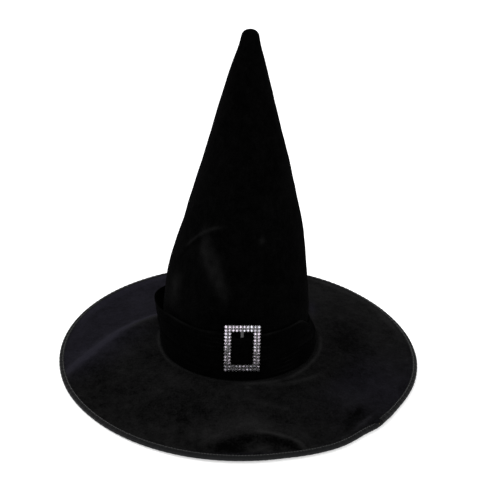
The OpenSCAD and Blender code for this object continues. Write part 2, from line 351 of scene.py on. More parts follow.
def woven(name, tone, light, across, along, sheen):
    """Plain woven tape: threads cross at right angles along the piece's own map, with a painted highlight
    along its rounded edge.
    """
    material, board = new_material(name)
    place = board.get("ShaderNodeUVMap", {"uv_map": "cloth"}, {})
    split = board.node("ShaderNodeSeparateXYZ", {}, {"Vector": place})
    u = Field(board, split.outputs[0])
    v = Field(board, split.outputs[1])
    warp = board.maths("SINE", (u + v) * (FULL / across))
    weft = board.maths("SINE", (u - v) * (FULL / along))
    weave = warp * weft * 0.5 + 0.5
    patchy = board.noise(board.get("ShaderNodeTexCoord", {}, {}, "Object"), 90, 4.0, 0.65)
    rubbed = board.get("ShaderNodeAttribute", {"attribute_name": "rubbed"}, {}, "Fac")
    raised = rgba(tuple(1.9 * c for c in tone))
    threads = board.blend((weave * 0.5 + patchy * 0.6).clamp(), rgba(tone), raised)
    # Painted highlight: the tape is painted paler along its rounded edge, more in some places than others.
    tint = board.blend((rubbed * (0.4 + patchy * 1.2)).clamp(), threads, rgba(light))
    board.finish_material(Base_Color=tint, Roughness=0.85, Specular=0.05, Sheen_Weight=sheen,
                          Sheen_Roughness=0.4, Normal=board.bump(weave + patchy * 0.6, 0.00018, 0.7))
    return material


def grosgrain(name, tone, light, rib):
    """Ribbed ribbon: fine cords run across it."""
    material, board = new_material(name)
    place = board.get("ShaderNodeUVMap", {"uv_map": "cloth"}, {})
    split = board.node("ShaderNodeSeparateXYZ", {}, {"Vector": place})
    ribs = board.maths("SINE", Field(board, split.outputs[0]) * (FULL / rib)) * 0.5 + 0.5
    patchy = board.noise(board.get("ShaderNodeTexCoord", {}, {}, "Object"), 140, 3.0, 0.6)
    tint = board.blend((ribs * 0.8 + patchy * 0.3).clamp(), rgba(tone), rgba(light))
    board.finish_material(Base_Color=tint, Roughness=0.7 - ribs * 0.2, Specular=0.3, Sheen_Weight=0.3,
                          Normal=board.bump(ribs, 0.0003, 0.8))
    return material


def satin(name, tone, light):
    """Satin: long floats that shine along the cone."""
    material, board = new_material(name)
    place = board.get("ShaderNodeTexCoord", {}, {}, "Object")
    floats = board.noise(board.stretch(place, (1.0, 1.0, 0.08)), 1300, 2.0, 0.5)
    creases = board.noise(place, 45, 4.0, 0.6)
    tint = board.blend((creases * 0.7 + floats * 0.3).clamp(), rgba(tone), rgba(light))
    board.finish_material(Base_Color=tint, Roughness=0.32 + creases * 0.2, Specular=0.5, Sheen_Weight=0.4,
                          Normal=board.bump(floats * 0.4 + creases, 0.0004, 0.5))
    return material


def matted(name, tone, light, fibre):
    """Pressed felt or stiffened net: short fibres in all directions."""
    material, board = new_material(name)
    place = board.get("ShaderNodeTexCoord", {}, {}, "Object")
    fibres = board.noise(place, fibre, 5.0, 0.75)
    clouds = board.noise(place, 40, 3.0, 0.6)
    tint = board.blend((fibres * 0.8 + clouds * 0.4 - 0.1).clamp(), rgba(tone), rgba(light))
    board.finish_material(Base_Color=tint, Roughness=0.95, Specular=0.15, Sheen_Weight=0.3,
                          Normal=board.bump(fibres, 0.0005, 0.8))
    return material


def spun(name, tone):
    """Sewing thread: two plies twisted together."""
    material, board = new_material(name)
    place = board.get("ShaderNodeTexCoord", {}, {}, "Object")
    twist = board.maths("SINE", board.noise(place, 2600, 1.0, 0.4) * 18) * 0.5 + 0.5
    light = tuple(min(1.0, 1.9 * c) for c in tone)
    tint = board.blend(twist, rgba(tone), rgba(light))
    board.finish_material(Base_Color=tint, Roughness=0.6, Specular=0.3, Sheen_Weight=0.4,
                          Normal=board.bump(twist, 0.0001, 0.6))
    return material


def plated(name, tone, roughness, scratch):
    """Bright plating, with a little tarnish in its lows."""
    material, board = new_material(name)
    place = board.get("ShaderNodeTexCoord", {}, {}, "Object")
    haze = board.noise(place, 260, 4.0, 0.6)
    lines = board.noise(board.stretch(place, (1.0, 1.0, 14.0)), 900, 2.0, 0.5)
    dull = tuple(0.62 * c for c in tone)
    tint = board.blend(board.ramp(haze, 0.35, 0.75), rgba(tone), rgba(dull))
    board.finish_material(Base_Color=tint, Metallic=1.0, Roughness=roughness + haze * scratch,
                          Normal=board.bump(lines, 0.00003, 0.4))
    return material


def crystal(name, tone):
    """Foil-backed crystal with painted glints and painted reflections: small cells of each stone are painted
    light or much darker, and stones higher on the buckle are painted lighter, with faint pink and violet
    tints.
    """
    material, board = new_material(name)
    place = board.get("ShaderNodeTexCoord", {}, {}, "Object")
    cell = board.get("ShaderNodeTexVoronoi", {}, {
        "Vector": place, "Scale": 780, "Randomness": 1.0}, "Color")
    split = board.node("ShaderNodeSeparateXYZ", {}, {"Vector": cell})
    height = Field(board, board.node("ShaderNodeSeparateXYZ", {}, {"Vector": place}).outputs[2])
    # Painted light: stones higher on the buckle are painted lighter.
    upper = ((height - 0.066) * 160).clamp()
    # Painted glints and painted reflections: random small cells of each stone are painted light or much
    # darker.
    painted_glints = board.ramp(Field(board, split.outputs[0]) + upper * 0.42, 0.39, 0.88)
    lights = board.noise(place, 75, 1.0, 0.4)
    blush = (tone[0], 0.74 * tone[1], 0.95 * tone[2])
    cool = (0.84 * tone[0], 0.88 * tone[1], tone[2])
    tinted = board.blend(board.ramp(lights, 0.42, 0.58), rgba(blush), rgba(cool))
    mostly = board.blend(0.35, rgba(tone), tinted)
    # Colour of the cells painted much darker, as painted reflections.
    painted_dark = tuple(0.10 * c for c in tone)
    board.finish_material(Base_Color=board.blend(painted_glints, rgba(painted_dark), mostly), Metallic=0.9, Roughness=0.09,
                          Coat_Weight=0.35, Coat_Roughness=0.02)
    return material


# ---------------------------------------------------------------------------------------------
# Mesh helpers
# ---------------------------------------------------------------------------------------------

def rise(low, high, value):
    """A smooth step from 0 at low to 1 at high."""
    t = np.clip((value - low) / (high - low), 0, 1)
    return t * t * (3 - 2 * t)


def hump(value, middle, width):
    """A smooth hump of height 1."""
    return np.exp(-(((value - middle) / width) ** 2))


def ripple(points, size, seed, waves=9):
    """Smooth unevenness from about -1 to 1, with swells of about this size."""
    random = np.random.default_rng(seed)
    total = 0.0
    for _ in range(waves):
        direction = random.normal(size=3)
        direction /= np.linalg.norm(direction)
        wave = FULL / (size * random.uniform(0.7, 1.5))
        total = total + np.sin(points @ (direction * wave) + random.uniform(0, FULL))
    return total / waves * 1.7


def polar(radius, front, height):
    """Points round the hat. The angle runs from the front (-Y) towards +X."""
    radius, front, height = np.broadcast_arrays(radius, front, height)
    return np.stack([radius * np.sin(front), -radius * np.cos(front), height], -1)


def grid_faces(rows, cols, wrap, first=0):
    """Faces between rows and columns of points. With wrap, the last column meets the first."""
    i = np.arange(rows - 1)[:, None]
    j = np.arange(cols if wrap else cols - 1)[None]
    a = first + i * cols + j
    b = first + i * cols + (j + 1) % cols
    return np.stack([a, b, b + cols, a + cols], -1).reshape(-1, 4).tolist()


def mesh_object(name, points, faces, material, sharp=None):
    """A piece of the hat from points and faces, with its faces turned outwards."""
    mesh = bpy.data.meshes.new(name)
    mesh.from_pydata(np.asarray(points).reshape(-1, 3).tolist(), [], faces)
    work = bmesh.new()
    work.from_mesh(mesh)
    bmesh.ops.recalc_face_normals(work, faces=work.faces)
    work.to_mesh(mesh)
    work.free()
    mesh.polygons.foreach_set("use_smooth", [True] * len(mesh.polygons))
    if sharp:
        mesh.set_sharp_from_angle(angle=math.radians(sharp))
    mesh.materials.append(material)
    made = bpy.data.objects.new(name, mesh)
    bpy.context.scene.collection.objects.link(made)
    return made


def paint(piece, label, values):
    """Keeps a value for each point of the piece, which its material reads by this label."""
    layer = piece.data.attributes.new(label, "FLOAT", "POINT")
    layer.data.foreach_set("value", np.asarray(values, np.float32).ravel())


def shell(name, outer, inner, material, pole=False):
    """A cloth with thickness: two faces of rows and columns, closed at their ends or at a pole."""
    rows, cols = outer.shape[:2]
    count = rows * cols
    points = np.concatenate([outer.reshape(-1, 3), inner.reshape(-1, 3)])
    faces = grid_faces(rows, cols, True) + grid_faces(rows, cols, True, count)
    ring = [(j, (j + 1) % cols) for j in range(cols)]
    faces += [(a, b, count + b, count + a) for a, b in ring]
    last = count - cols
    if pole:
        points = np.concatenate([points, outer[-1].mean(0)[None], inner[-1].mean(0)[None]])
        faces += [(last + a, last + b, 2 * count) for a, b in ring]
        faces += [(count + last + a, count + last + b, 2 * count + 1) for a, b in ring]
    else:
        faces += [(last + a, last + b, count + last + b, count + last + a) for a, b in ring]
    return mesh_object(name, points, faces, material)


def strip(name, sections, material, along, across):
    """A strip with two ends: a closed section carried along, with a cloth map in metres."""
    steps, around = sections.shape[:2]
    faces = grid_faces(steps, around, True)
    count = steps * around
    centres = np.stack([sections[0].mean(0), sections[-1].mean(0)])
    for end, start in enumerate((0, count - around)):
        faces += [(start + j, start + (j + 1) % around, count + end) for j in range(around)]
    made = mesh_object(name, np.concatenate([sections.reshape(-1, 3), centres]), faces, material, sharp=60)
    layer = made.data.uv_layers.new(name="cloth")
    u = np.append(np.repeat(along, around), [along[0], along[-1]])
    v = np.append(np.tile(across, steps), [across.mean()] * 2)
    corner = np.zeros(len(made.data.loops), np.int32)
    made.data.loops.foreach_get("vertex_index", corner)
    layer.data.foreach_set("uv", np.stack([u[corner], v[corner]], -1).astype(np.float32).ravel())
    return made


def place_piece(piece, body, slot, *nodes):
    """The piece moves with a body and stands for CAD nodes, which it hides."""
    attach(piece, body)
    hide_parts(*nodes)
    return piece


def fan_pattern(radius, z):
    """Length and area of the flat piece that is rolled into a cone of this outline."""
    steps = np.hypot(np.diff(radius), np.diff(z))
    return float(steps.sum()), float((math.pi * (radius[1:] + radius[:-1]) * steps).sum())


# ---------------------------------------------------------------------------------------------
# Trees that repeat a shape
# ---------------------------------------------------------------------------------------------

def new_tree(name, sockets):
    """A geometry tree with named inputs. Gives its board and its input fields."""
    tree = bpy.data.node_groups.new(name, "GeometryNodeTree")
    tree.interface.new_socket("Geometry", in_out="OUTPUT", socket_type="NodeSocketGeometry")
    tree.interface.new_socket("Geometry", in_out="INPUT", socket_type="NodeSocketGeometry")
    for label, kind in sockets:
        tree.interface.new_socket(label, in_out="INPUT", socket_type=kind)
    board = Board(tree)
    entry = board.node("NodeGroupInput")
    return board, {socket.name: Field(board, socket) for socket in entry.outputs if socket.name}


def finish_tree(board, geometry, material):
    """Ends a tree in plain, smooth geometry with its material."""
    real = board.get("GeometryNodeRealizeInstances", {}, {"Geometry": geometry})
    dressed = board.get("GeometryNodeSetMaterial", {}, {"Geometry": real, "Material": material})
    board.node("NodeGroupOutput", {}, {"Geometry": dressed})
    return board.tree


def stitch_tree():
    """Stitches along a path: short rounded bars of thread, one after another."""
    board, given = new_tree("Stitches along a path", [
        ("Stitch length", "NodeSocketFloat"), ("Gap", "NodeSocketFloat"),
        ("Thread radius", "NodeSocketFloat"), ("Material", "NodeSocketMaterial")])
    path = board.get("GeometryNodeMeshToCurve", {}, {"Mesh": given["Geometry"]})
    even = board.get("GeometryNodeResampleCurve", {"mode": "LENGTH"},
                     {"Curve": path, "Length": given["Stitch length"] + given["Gap"]})
    bar = board.get("GeometryNodeMeshUVSphere", {}, {"Segments": 8, "Rings": 6, "Radius": 1.0}, "Mesh")
    size = board.get("ShaderNodeCombineXYZ", {}, {
        "X": given["Stitch length"] * 0.5, "Y": given["Thread radius"], "Z": given["Thread radius"]})
    sized = board.get("GeometryNodeTransform", {}, {"Geometry": bar, "Scale": size})
    soft = board.get("GeometryNodeSetShadeSmooth", {}, {"Geometry": sized})
    tangent = board.get("GeometryNodeInputTangent", {}, {})
    turned = board.get("FunctionNodeAlignRotationToVector", {"axis": "X"}, {"Vector": tangent})
    placed = board.get("GeometryNodeInstanceOnPoints", {}, {
        "Points": even, "Instance": soft, "Rotation": turned})
    return finish_tree(board, placed, given["Material"])


def thread_tree():
    """Thread along each path: a round thread with closed ends."""
    board, given = new_tree("Thread along paths", [
        ("Thread radius", "NodeSocketFloat"), ("Material", "NodeSocketMaterial")])
    path = board.get("GeometryNodeMeshToCurve", {}, {"Mesh": given["Geometry"]})
    circle = board.get("GeometryNodeCurvePrimitiveCircle", {}, {
        "Resolution": 7, "Radius": given["Thread radius"]})
    thread = board.get("GeometryNodeCurveToMesh", {}, {
        "Curve": path, "Profile Curve": circle, "Fill Caps": True})
    soft = board.get("GeometryNodeSetShadeSmooth", {}, {"Geometry": thread})
    return finish_tree(board, soft, given["Material"])


def setting_tree(seed):
    """A pattern piece set in two closed rows round a rectangular frame."""
    board, given = new_tree("Rows round a frame", [
        ("Pattern", "NodeSocketObject"), ("Width", "NodeSocketFloat"), ("Height", "NodeSocketFloat"),
        ("Side width", "NodeSocketFloat"), ("Pitch", "NodeSocketFloat"), ("Lift", "NodeSocketFloat"),
        ("Spin", "NodeSocketFloat"), ("Tilt", "NodeSocketFloat"), ("Material", "NodeSocketMaterial")])
    lines = []
    for row in (0, 1):
        inset = given["Side width"] * ((1 + 2 * row) / 2)
        wide = given["Width"] - inset
        tall = given["Height"] - inset
        across = board.maths("FLOOR", wide / given["Pitch"])
        up = board.maths("FLOOR", tall / given["Pitch"])
        for side in (-0.5, 0.5):
            start = board.get("ShaderNodeCombineXYZ", {}, {
                "X": wide * -0.5, "Y": tall * side, "Z": given["Lift"]})
            step = board.get("ShaderNodeCombineXYZ", {}, {"X": wide / across})
            lines.append(board.get("GeometryNodeMeshLine", {}, {
                "Count": across + 1, "Start Location": start, "Offset": step}))
            rise_step = tall / up
            start = board.get("ShaderNodeCombineXYZ", {}, {
                "X": wide * side, "Y": tall * -0.5 + rise_step, "Z": given["Lift"]})
            step = board.get("ShaderNodeCombineXYZ", {}, {"Y": rise_step})
            lines.append(board.get("GeometryNodeMeshLine", {}, {
                "Count": up - 1, "Start Location": start, "Offset": step}))
    rows = board.get("GeometryNodeJoinGeometry", {}, {"Geometry": lines})
    pattern = board.get("GeometryNodeObjectInfo", {}, {"Object": given["Pattern"]}, "Geometry")
    spin = board.get("FunctionNodeRandomValue", {"data_type": "FLOAT"},
                     {2: 0.0, 3: given["Spin"], "Seed": seed}, 1)
    leans = [board.get("FunctionNodeRandomValue", {"data_type": "FLOAT"},
                       {2: given["Tilt"] * -1.0, 3: given["Tilt"], "Seed": seed + i}, 1) for i in (1, 2)]
    angles = board.get("ShaderNodeCombineXYZ", {}, {"X": leans[0], "Y": leans[1], "Z": spin})
    placed = board.get("GeometryNodeInstanceOnPoints", {}, {
        "Points": rows, "Instance": pattern, "Rotation": angles})
    return finish_tree(board, placed, given["Material"])


def grow(name, tree, values, points=(), edges=(), matrix=None):
    """Runs a tree on a path of points and edges, and keeps the result as a plain mesh."""
    mesh = bpy.data.meshes.new(name + "_path")
    mesh.from_pydata([tuple(p) for p in points], list(edges), [])
    seed_object = bpy.data.objects.new(name + "_path", mesh)
    bpy.context.scene.collection.objects.link(seed_object)
    modifier = seed_object.modifiers.new(name, "NODES")
    modifier.node_group = tree
    for item in tree.interface.items_tree:
        if item.in_out == "INPUT" and item.name in values:
            modifier[item.identifier] = values[item.name]
    seed_object.update_tag()
    bpy.context.view_layer.update()
    graph = bpy.context.evaluated_depsgraph_get()
    result = bpy.data.meshes.new_from_object(seed_object.evaluated_get(graph), depsgraph=graph)
    bpy.data.objects.remove(seed_object)
    result.name = name
    if matrix is not None:
        result.transform(matrix)
    if not result.polygons:
        raise RuntimeError(f"the tree {tree.name} made nothing for {name}")
    made = bpy.data.objects.new(name, result)
    bpy.context.scene.collection.objects.link(made)
    return made


# ---------------------------------------------------------------------------------------------
# Shape of the crown
# ---------------------------------------------------------------------------------------------

CROWN_COLS = 288
SEAM_LINES = (0.006, 0.013, 0.030, 0.046, 0.060)
WALL_ROWS, BELL_ROWS, CONE_ROWS, TIP_ROWS = 26, 34, 84, 9


def crown_lean(shape):
    """Lean of the cone that meets the bell and the round tip without a corner."""
    foot = BASE_R - shape.wall_lean * (shape.wall_h + shape.bell_h / 2)
    height = CROWN_HIGH.z - SEAT - shape.tip_r - shape.wall_h - shape.bell_h / 2
    root = math.sqrt(foot**2 + height**2 - shape.tip_r**2)
    return (foot * height - shape.tip_r * root) / (height**2 - shape.tip_r**2)


def crown_radius(shape, z):
    """Radius of the velvet's face at a height, below the round tip."""
    lean = crown_lean(shape)
    shoulder = SEAT + shape.wall_h
    top = shoulder + shape.bell_h
    wall = BASE_R - shape.wall_lean * (np.minimum(z, top) - SEAT)
    bend = (lean - shape.wall_lean) / (2 * shape.bell_h)
    bell = bend * np.clip(z - shoulder, 0, shape.bell_h) ** 2
    return wall - bell - lean * np.maximum(z - top, 0)


def crown_line(shape, inset):
    """Radius and height along one face of the crown's cloth, from the brim to the tip."""
    lean = crown_lean(shape)
    slope = math.atan(lean)
    centre = CROWN_HIGH.z - shape.tip_r
    cap = shape.tip_r - inset * math.cos(slope)
    shoulder = SEAT + shape.wall_h
    bell_top = shoulder + shape.bell_h
    straight_top = centre + cap * math.sin(slope)
    z = np.concatenate([
        np.linspace(SEAT, shoulder, WALL_ROWS, endpoint=False),
        np.linspace(shoulder, bell_top, BELL_ROWS, endpoint=False),
        np.linspace(bell_top, straight_top, CONE_ROWS, endpoint=False)])
    angle = np.linspace(slope, math.pi / 2, TIP_ROWS, endpoint=False)
    radius = np.concatenate([crown_radius(shape, z) - inset, cap * np.cos(angle)])
    return radius, np.concatenate([z, centre + cap * np.sin(angle)])


def crease_height(degrees):
    """Height of the curved crease over the dent, at an angle from the front."""
    return 0.197 - 0.032 * ((degrees + 14) / 42) ** 2


def streak_height(degrees):
    """Height of the soft ridge that runs down from the crease to the front."""
    return 0.172 - 0.0016 * (degrees + 38) + 0.004 * hump(degrees, -25, 9)


def crown_push(shape, front, z, points):
    """How far the crown's cloth stands out from its plain shape."""
    degrees = np.degrees(front)
    above_band = rise(0.080, 0.105, z)
    dent = -shape.dent * hump(degrees, -46, 20) * hump(z, 0.138, 0.034)
    window = rise(-66, -54, degrees) * (1 - rise(-26, -8, degrees))
    over = z - crease_height(degrees)
    crease = window * shape.crease * (hump(over, 0.0025, 0.0040) - 1.3 * hump(over, -0.0060, 0.0060))
    reach = rise(-44, -34, degrees) * (1 - rise(-12, -2, degrees))
    ridge = 0.0020 * reach * hump(z, streak_height(degrees), 0.013)
    flat = -0.0012 * hump(degrees, 28, 16) * hump(z, 0.152, 0.030)
    squash = -0.0068 * hump(degrees, 99, 33) * hump(z, 0.0420, 0.014)
    below_tip = 1 - rise(0.365, 0.405, z)
    held = 1 - hump(degrees, 2, 17) * (1 - rise(0.082, 0.105, z))
    full = shape.fullness * below_tip * (0.45 * held * rise(0.03, 0.10, z) + 0.55 * rise(0.16, 0.21, z))
    swells = 0.0005 * ripple(points, 0.075, 11) + 0.0002 * ripple(points, 0.020, 12)
    uneven = held * above_band * below_tip * swells - 0.0006 * (1 - held)
    across = (math.pi - np.abs(front)) * np.interp(z, [SEAT, CROWN_HIGH.z], [BASE_R, 0.004])
    seam = -shape.seam_d * below_tip * hump(across, 0, 0.0014)
    pucker = 0.00025 * below_tip * hump(across, 0.003, 0.004) * np.sin(z * FULL / 0.008)
    return (dent + crease + ridge + flat) * above_band + squash + full + uneven + seam + pucker


def crown_shift(shape, z):
    """Sideways shift of the crown's middle line at a height."""
    back = shape.lean_back * rise(0.100, 0.195, z) + shape.lean_tip * rise(0.195, 0.270, z)
    return back - shape.lean_left * rise(0.025, 0.065, z) + 0.0012 * rise(0.350, 0.405, z)


def crown_points(shape, front, radius, z):
    """Points of the crown's cloth, with its dents and its bend."""
    plain = polar(radius, front, z)
    out = crown_push(shape, front, z, polar(0.06, front, z))
    held = np.minimum(1.0, radius / 0.02)
    blunt = 0.0010 * hump(z, 0.402, 0.009) * np.minimum(1.0, radius / 0.005)
    points = polar(radius + out * held + blunt, front, z)
    points[..., 0] += crown_shift(shape, plain[..., 2])
    points[..., 2] += 0.0010 * rise(0.36, 0.40, plain[..., 2])
    return points


def crown_painted_light(front, z):
    """Painted highlights on the crown's pile: a streak along the soft ridge, a line along the crease, a
    patch and a small spot.
    """
    degrees = np.degrees(front)
    patchy = 1 + 0.45 * ripple(polar(0.08, front, z), 0.014, 13)
    reach = rise(-46, -36, degrees) * (1 - rise(-16, -2, degrees))
    streak = 0.30 * patchy * reach * hump(z, streak_height(degrees) + 0.001, 0.0165)
    window = rise(-62, -54, degrees) * (1 - rise(-30, -12, degrees))
    line = 0.34 * window * hump(z, crease_height(degrees) + 0.001, 0.0022)
    patch = 0.26 * patchy * hump(degrees, -59, 7) * hump(z, 0.110, 0.019)
    spot = 0.30 * hump(degrees, 19, 3.2) * hump(z, 0.184, 0.0034)
    return streak + line + patch + spot


def around(cols, seam_lines=()):
    """Angles round the hat from the front, with more of them on each side of a back seam."""
    near = math.pi - np.asarray(seam_lines)
    even = np.linspace(-math.pi, math.pi, cols, endpoint=False)
    return np.unique(np.concatenate([even, near, -near]))


def soft_line(degrees, line, reach, steps):
    """A smoothed line round the hat through points, each a place in degrees and a value."""
    places, values = zip(*line)
    near = np.linspace(-reach, reach, steps)
    return sum(np.interp(degrees + d, places, values, period=360) for d in near) / steps


# ---------------------------------------------------------------------------------------------
# Shape of the brim
# ---------------------------------------------------------------------------------------------

BRIM_COLS = 360
BRIM_ROWS = 64


def brim_height(shape, radius):
    """Height of the brim's top face in its plain S curve."""
    level = BASE_R + 0.006
    fall = BRIM_R - shape.binding_w - 0.002
    edge = BINDING_LOW.z + shape.binding_t + BRIM_T
    t = np.clip((radius - level) / (fall - level), 0, 1)
    return edge + (SEAT - edge) * (1 + np.cos(math.pi * t)) / 2


def side_line(x, y):
    """Distance outwards from the long fold across the brim's left side, which bends in by the crown."""
    return 0.486 * y - 0.874 * x - 0.140 + 7.8 * np.maximum(y + 0.006, 0) ** 2


def arch_line(x, y):
    """Distance outwards from the crest of the arched fold near the front edge."""
    bend = np.where(x < 0.025, 14.0, 7.1)
    return -y - 0.1905 - bend * (x - 0.025) ** 2


def roll_radius(degrees):
    """Radius of the roll of velvet round the foot of the hatband."""
    return 0.1072 + 0.0032 * hump(degrees, 31, 15) - 0.0022 * rise(45, 95, degrees)


def wrinkle_radius(degrees):
    """Radius of the wrinkle that leaves the roll at the front and runs outwards to the right."""
    return 0.1080 + 0.0218 * np.clip((degrees - 10) / 43, 0, 1.3) ** 0.85


def brim_wave(shape, radius, front):
    """How far the brim stands above its plain shape."""
    degrees = np.degrees(front)
    plan = polar(radius, front, 0.0)
    x = plan[..., 0]
    y = plan[..., 1]
    inside = 1 - rise(BRIM_R - 0.014, BRIM_R - 0.007, radius)
    loose = rise(BASE_R + 0.008, BASE_R + 0.045, radius)
    past = arch_line(x, y)
    reach = rise(-0.040, -0.002, x) * (1 - rise(0.068, 0.088, x))
    crest = np.where(past < 0, hump(past, 0, 0.026), hump(past, 0, 0.0085))
    fold = shape.fold_h * reach * (crest - 0.12 * hump(past, 0.017, 0.006))
    past_line = side_line(x, y)
    along = rise(-0.100, -0.060, y) * (1 - rise(0.050, 0.085, y))
    line_shape = np.where(past_line < 0, hump(past_line, 0, 0.020), hump(past_line, 0, 0.011))
    line = shape.line_h * along * line_shape
    near = rise(-115, -80, degrees) * (1 - rise(95, 120, degrees))
    roll = shape.roll_h * near * hump(radius, roll_radius(degrees), 0.0030)
    second = shape.roll_h * rise(12, 24, degrees) * (1 - rise(46, 62, degrees))
    roll = roll + second * hump(radius, wrinkle_radius(degrees), 0.0042)
    edge_fold = 0.0022 * hump(degrees, 42, 6) * hump(radius, 0.2150 - 0.0005 * (degrees - 41), 0.0045)
    swell = loose * (0.0016 * ripple(plan, 0.17, 21) + 0.0007 * ripple(plan, 0.055, 22))
    fine = loose * 0.00022 * ripple(plan, 0.016, 23)
    edge = shape.lift * (0.5 + 0.32 * np.sin(2 * front + 0.7) + 0.18 * np.sin(5 * front + 2.0))
    bunch = 0.0010 * hump(degrees, math.degrees(shape.join), 5)
    rim = rise(BRIM_R - 0.060, BRIM_R - 0.010, radius)
    return inside * (fold + line + roll + edge_fold + swell + fine) + rim * (edge + bunch)


def brim_reach(shape, radius, front):
    """Radius after the outline's swells, with its bulge before the binding's join."""
    join = math.degrees(shape.join)
    swells = [  # a place in degrees, and millimetres outwards
        (-180, -1.9), (-150, -2.8), (-138, -2.3), (-124, -1.0), (-108, -0.2), (-78, 0.1), (-60, 0.7),
        (-46, 0.0), (-30, 0.2), (-12, 0.5), (14, -0.6), (22, 1.3), (29, 2.7), (33, 2.2), (join - 7, -0.2),
        (join - 1.5, 2.0), (join + 1, 0.7), (join + 10, -0.6), (70, 0.9), (84, 1.3), (98, 0.6),
        (112, -0.9), (128, -1.9), (148, -1.8), (180, -1.9)]
    out = soft_line(np.degrees(front), swells, 1.5, 5) / 1000
    return radius + out * rise(BRIM_R - 0.05, BRIM_R - 0.004, radius)


def brim_points(shape, radius, front, depth):
    """Points of the brim at a depth below its top face."""
    radius, front = np.broadcast_arrays(radius, front)
    z = brim_height(shape, radius) + brim_wave(shape, radius, front) - depth
    return polar(brim_reach(shape, radius, front), front, z)


def spot(x, y, middle, size):
    """A soft round or oval spot of height 1."""
    return hump(x, middle[0], size[0]) * hump(y, middle[1], size[1])


# Spots painted lighter or darker on the brim, as painted light and shade: strength, then middle and half
# sizes in plan
BRIM_PAINTED_SPOTS = [
    (0.20, (0.127, -0.036), (0.011, 0.013)),
    (0.30, (0.099, 0.060), (0.005, 0.032)),
    (0.30, (0.012, -0.172), (0.028, 0.016)),
    (0.20, (0.136, -0.108), (0.032, 0.022)),
    (0.16, (0.027, -0.182), (0.016, 0.007)),
    (-0.14, (0.004, -0.216), (0.024, 0.007)),
    (0.20, (-0.022, -0.191), (0.018, 0.008)),
    (-0.20, (-0.012, -0.212), (0.020, 0.008)),
    (-0.12, (-0.062, -0.152), (0.042, 0.022)),
    (-0.10, (-0.168, -0.108), (0.022, 0.026)),
    (0.15, (-0.068, -0.188), (0.0042, 0.014)),
    (0.15, (-0.046, -0.188), (0.0042, 0.014)),
    (0.15, (-0.032, -0.188), (0.0042, 0.014)),
    (1.0, (0.0135, -0.1135), (0.0028, 0.0020)),
]


def line_painted_light(x, y, patchy):
    """Painted highlight along the long fold on the left, and painted lighter pile beyond it, where the brim
    tilts away.
    """
    past = side_line(x, y)
    left = 1 - rise(-0.060, -0.010, x)
    along = left * rise(-0.105, -0.060, y) * (1 - rise(0.050, 0.085, y))
    line = 0.80 * hump(past, 0.001, 0.0068) + 0.12 * hump(past, 0.0, 0.018)
    return along * patchy * line + 0.22 * left * rise(-0.004, 0.014, past) * rise(-0.11, -0.05, y)


def ring_painted_light(radius, degrees, patchy):
    """Painted highlights on the rolls and on the wrinkle round the foot of the hatband."""
    right = hump(radius, roll_radius(degrees) + 0.0006, 0.0021)
    right = right * rise(-4, 8, degrees) * (1 - rise(84, 100, degrees))
    left = hump(radius, 0.1040 + 0.0028 * hump(degrees, -47, 15), 0.0018)
    left = left * rise(-98, -86, degrees) * (1 - rise(-72, -34, degrees))
    middle = hump(degrees, 11, 7) * hump(radius, 0.1078, 0.0030)
    wrinkle = hump(radius, wrinkle_radius(degrees), 0.0036)
    wrinkle = wrinkle * rise(12, 22, degrees) * (1 - rise(44, 60, degrees))
    return 0.56 * patchy**2 * right + 0.70 * left + 0.35 * middle + 0.46 * patchy * wrinkle


def fold_painted_light(x, y):
    """Painted highlight on the arched fold's crest, painted shade on its front, and painted lighter and
    darker streaks behind it.
    """
    past = arch_line(x, y)
    reach = rise(-0.018, 0.010, x) * (1 - rise(0.070, 0.084, x))
    front = reach * rise(-0.001, 0.0035, past) * (1 - rise(0.006, 0.014, past))
    crest = rise(0.016, 0.036, x) * (1 - rise(0.074, 0.084, x)) * hump(past, -0.0026, 0.0026)
    shoulder = hump(0.5 * x - 0.866 * y, 0.1965, 0.0020) * hump(x, 0.027, 0.010)
    slope = y + 0.25 * (x - 0.045)
    streaks = 0.26 * hump(slope, -0.1425, 0.0040) - 0.18 * hump(slope, -0.1640, 0.0085)
    return 0.48 * crest - 0.23 * front + 0.36 * shoulder + hump(x, 0.045, 0.018) * streaks


def edge_painted_light(radius, degrees):
    """Painted highlight and painted shade on the fold near the brim's edge, painted shade in a hollow on the
    right, and painted lighter pile further out on the right and along the back edge.
    """
    fold = degrees - 41
    painted_dark = hump(degrees, 43, 6) * hump(radius, 0.2050 - 0.0014 * fold, 0.009)
    light = hump(degrees, 42, 5.5) * hump(radius, 0.2158 - 0.0005 * fold, 0.0022)
    right = hump(degrees, 92, 22) * hump(radius, 0.140, 0.026)
    broad = hump(degrees, 64, 20) * hump(radius, 0.195, 0.03)
    turned = np.abs(degrees)
    back = rise(0.208, 0.219, radius) * rise(92, 112, turned) * (1 - rise(150, 165, turned))
    return 0.50 * light - 0.26 * painted_dark - 0.25 * right + 0.14 * broad + 0.34 * back


def brim_painted_light(radius, front):
    """How much painted light or painted shade the brim's pile gets, from place to place."""
    degrees = np.degrees(front)
    plan = polar(radius, front, 0.0)
    x = plan[..., 0]
    y = plan[..., 1]
    patchy = 1 + 0.30 * ripple(plan, 0.018, 24)
    total = line_painted_light(x, y, patchy) + ring_painted_light(radius, degrees, patchy) + fold_painted_light(x, y)
    spots = sum(strength * spot(x, y, middle, size) for strength, middle, size in BRIM_PAINTED_SPOTS)
    return total + edge_painted_light(radius, degrees) + spots


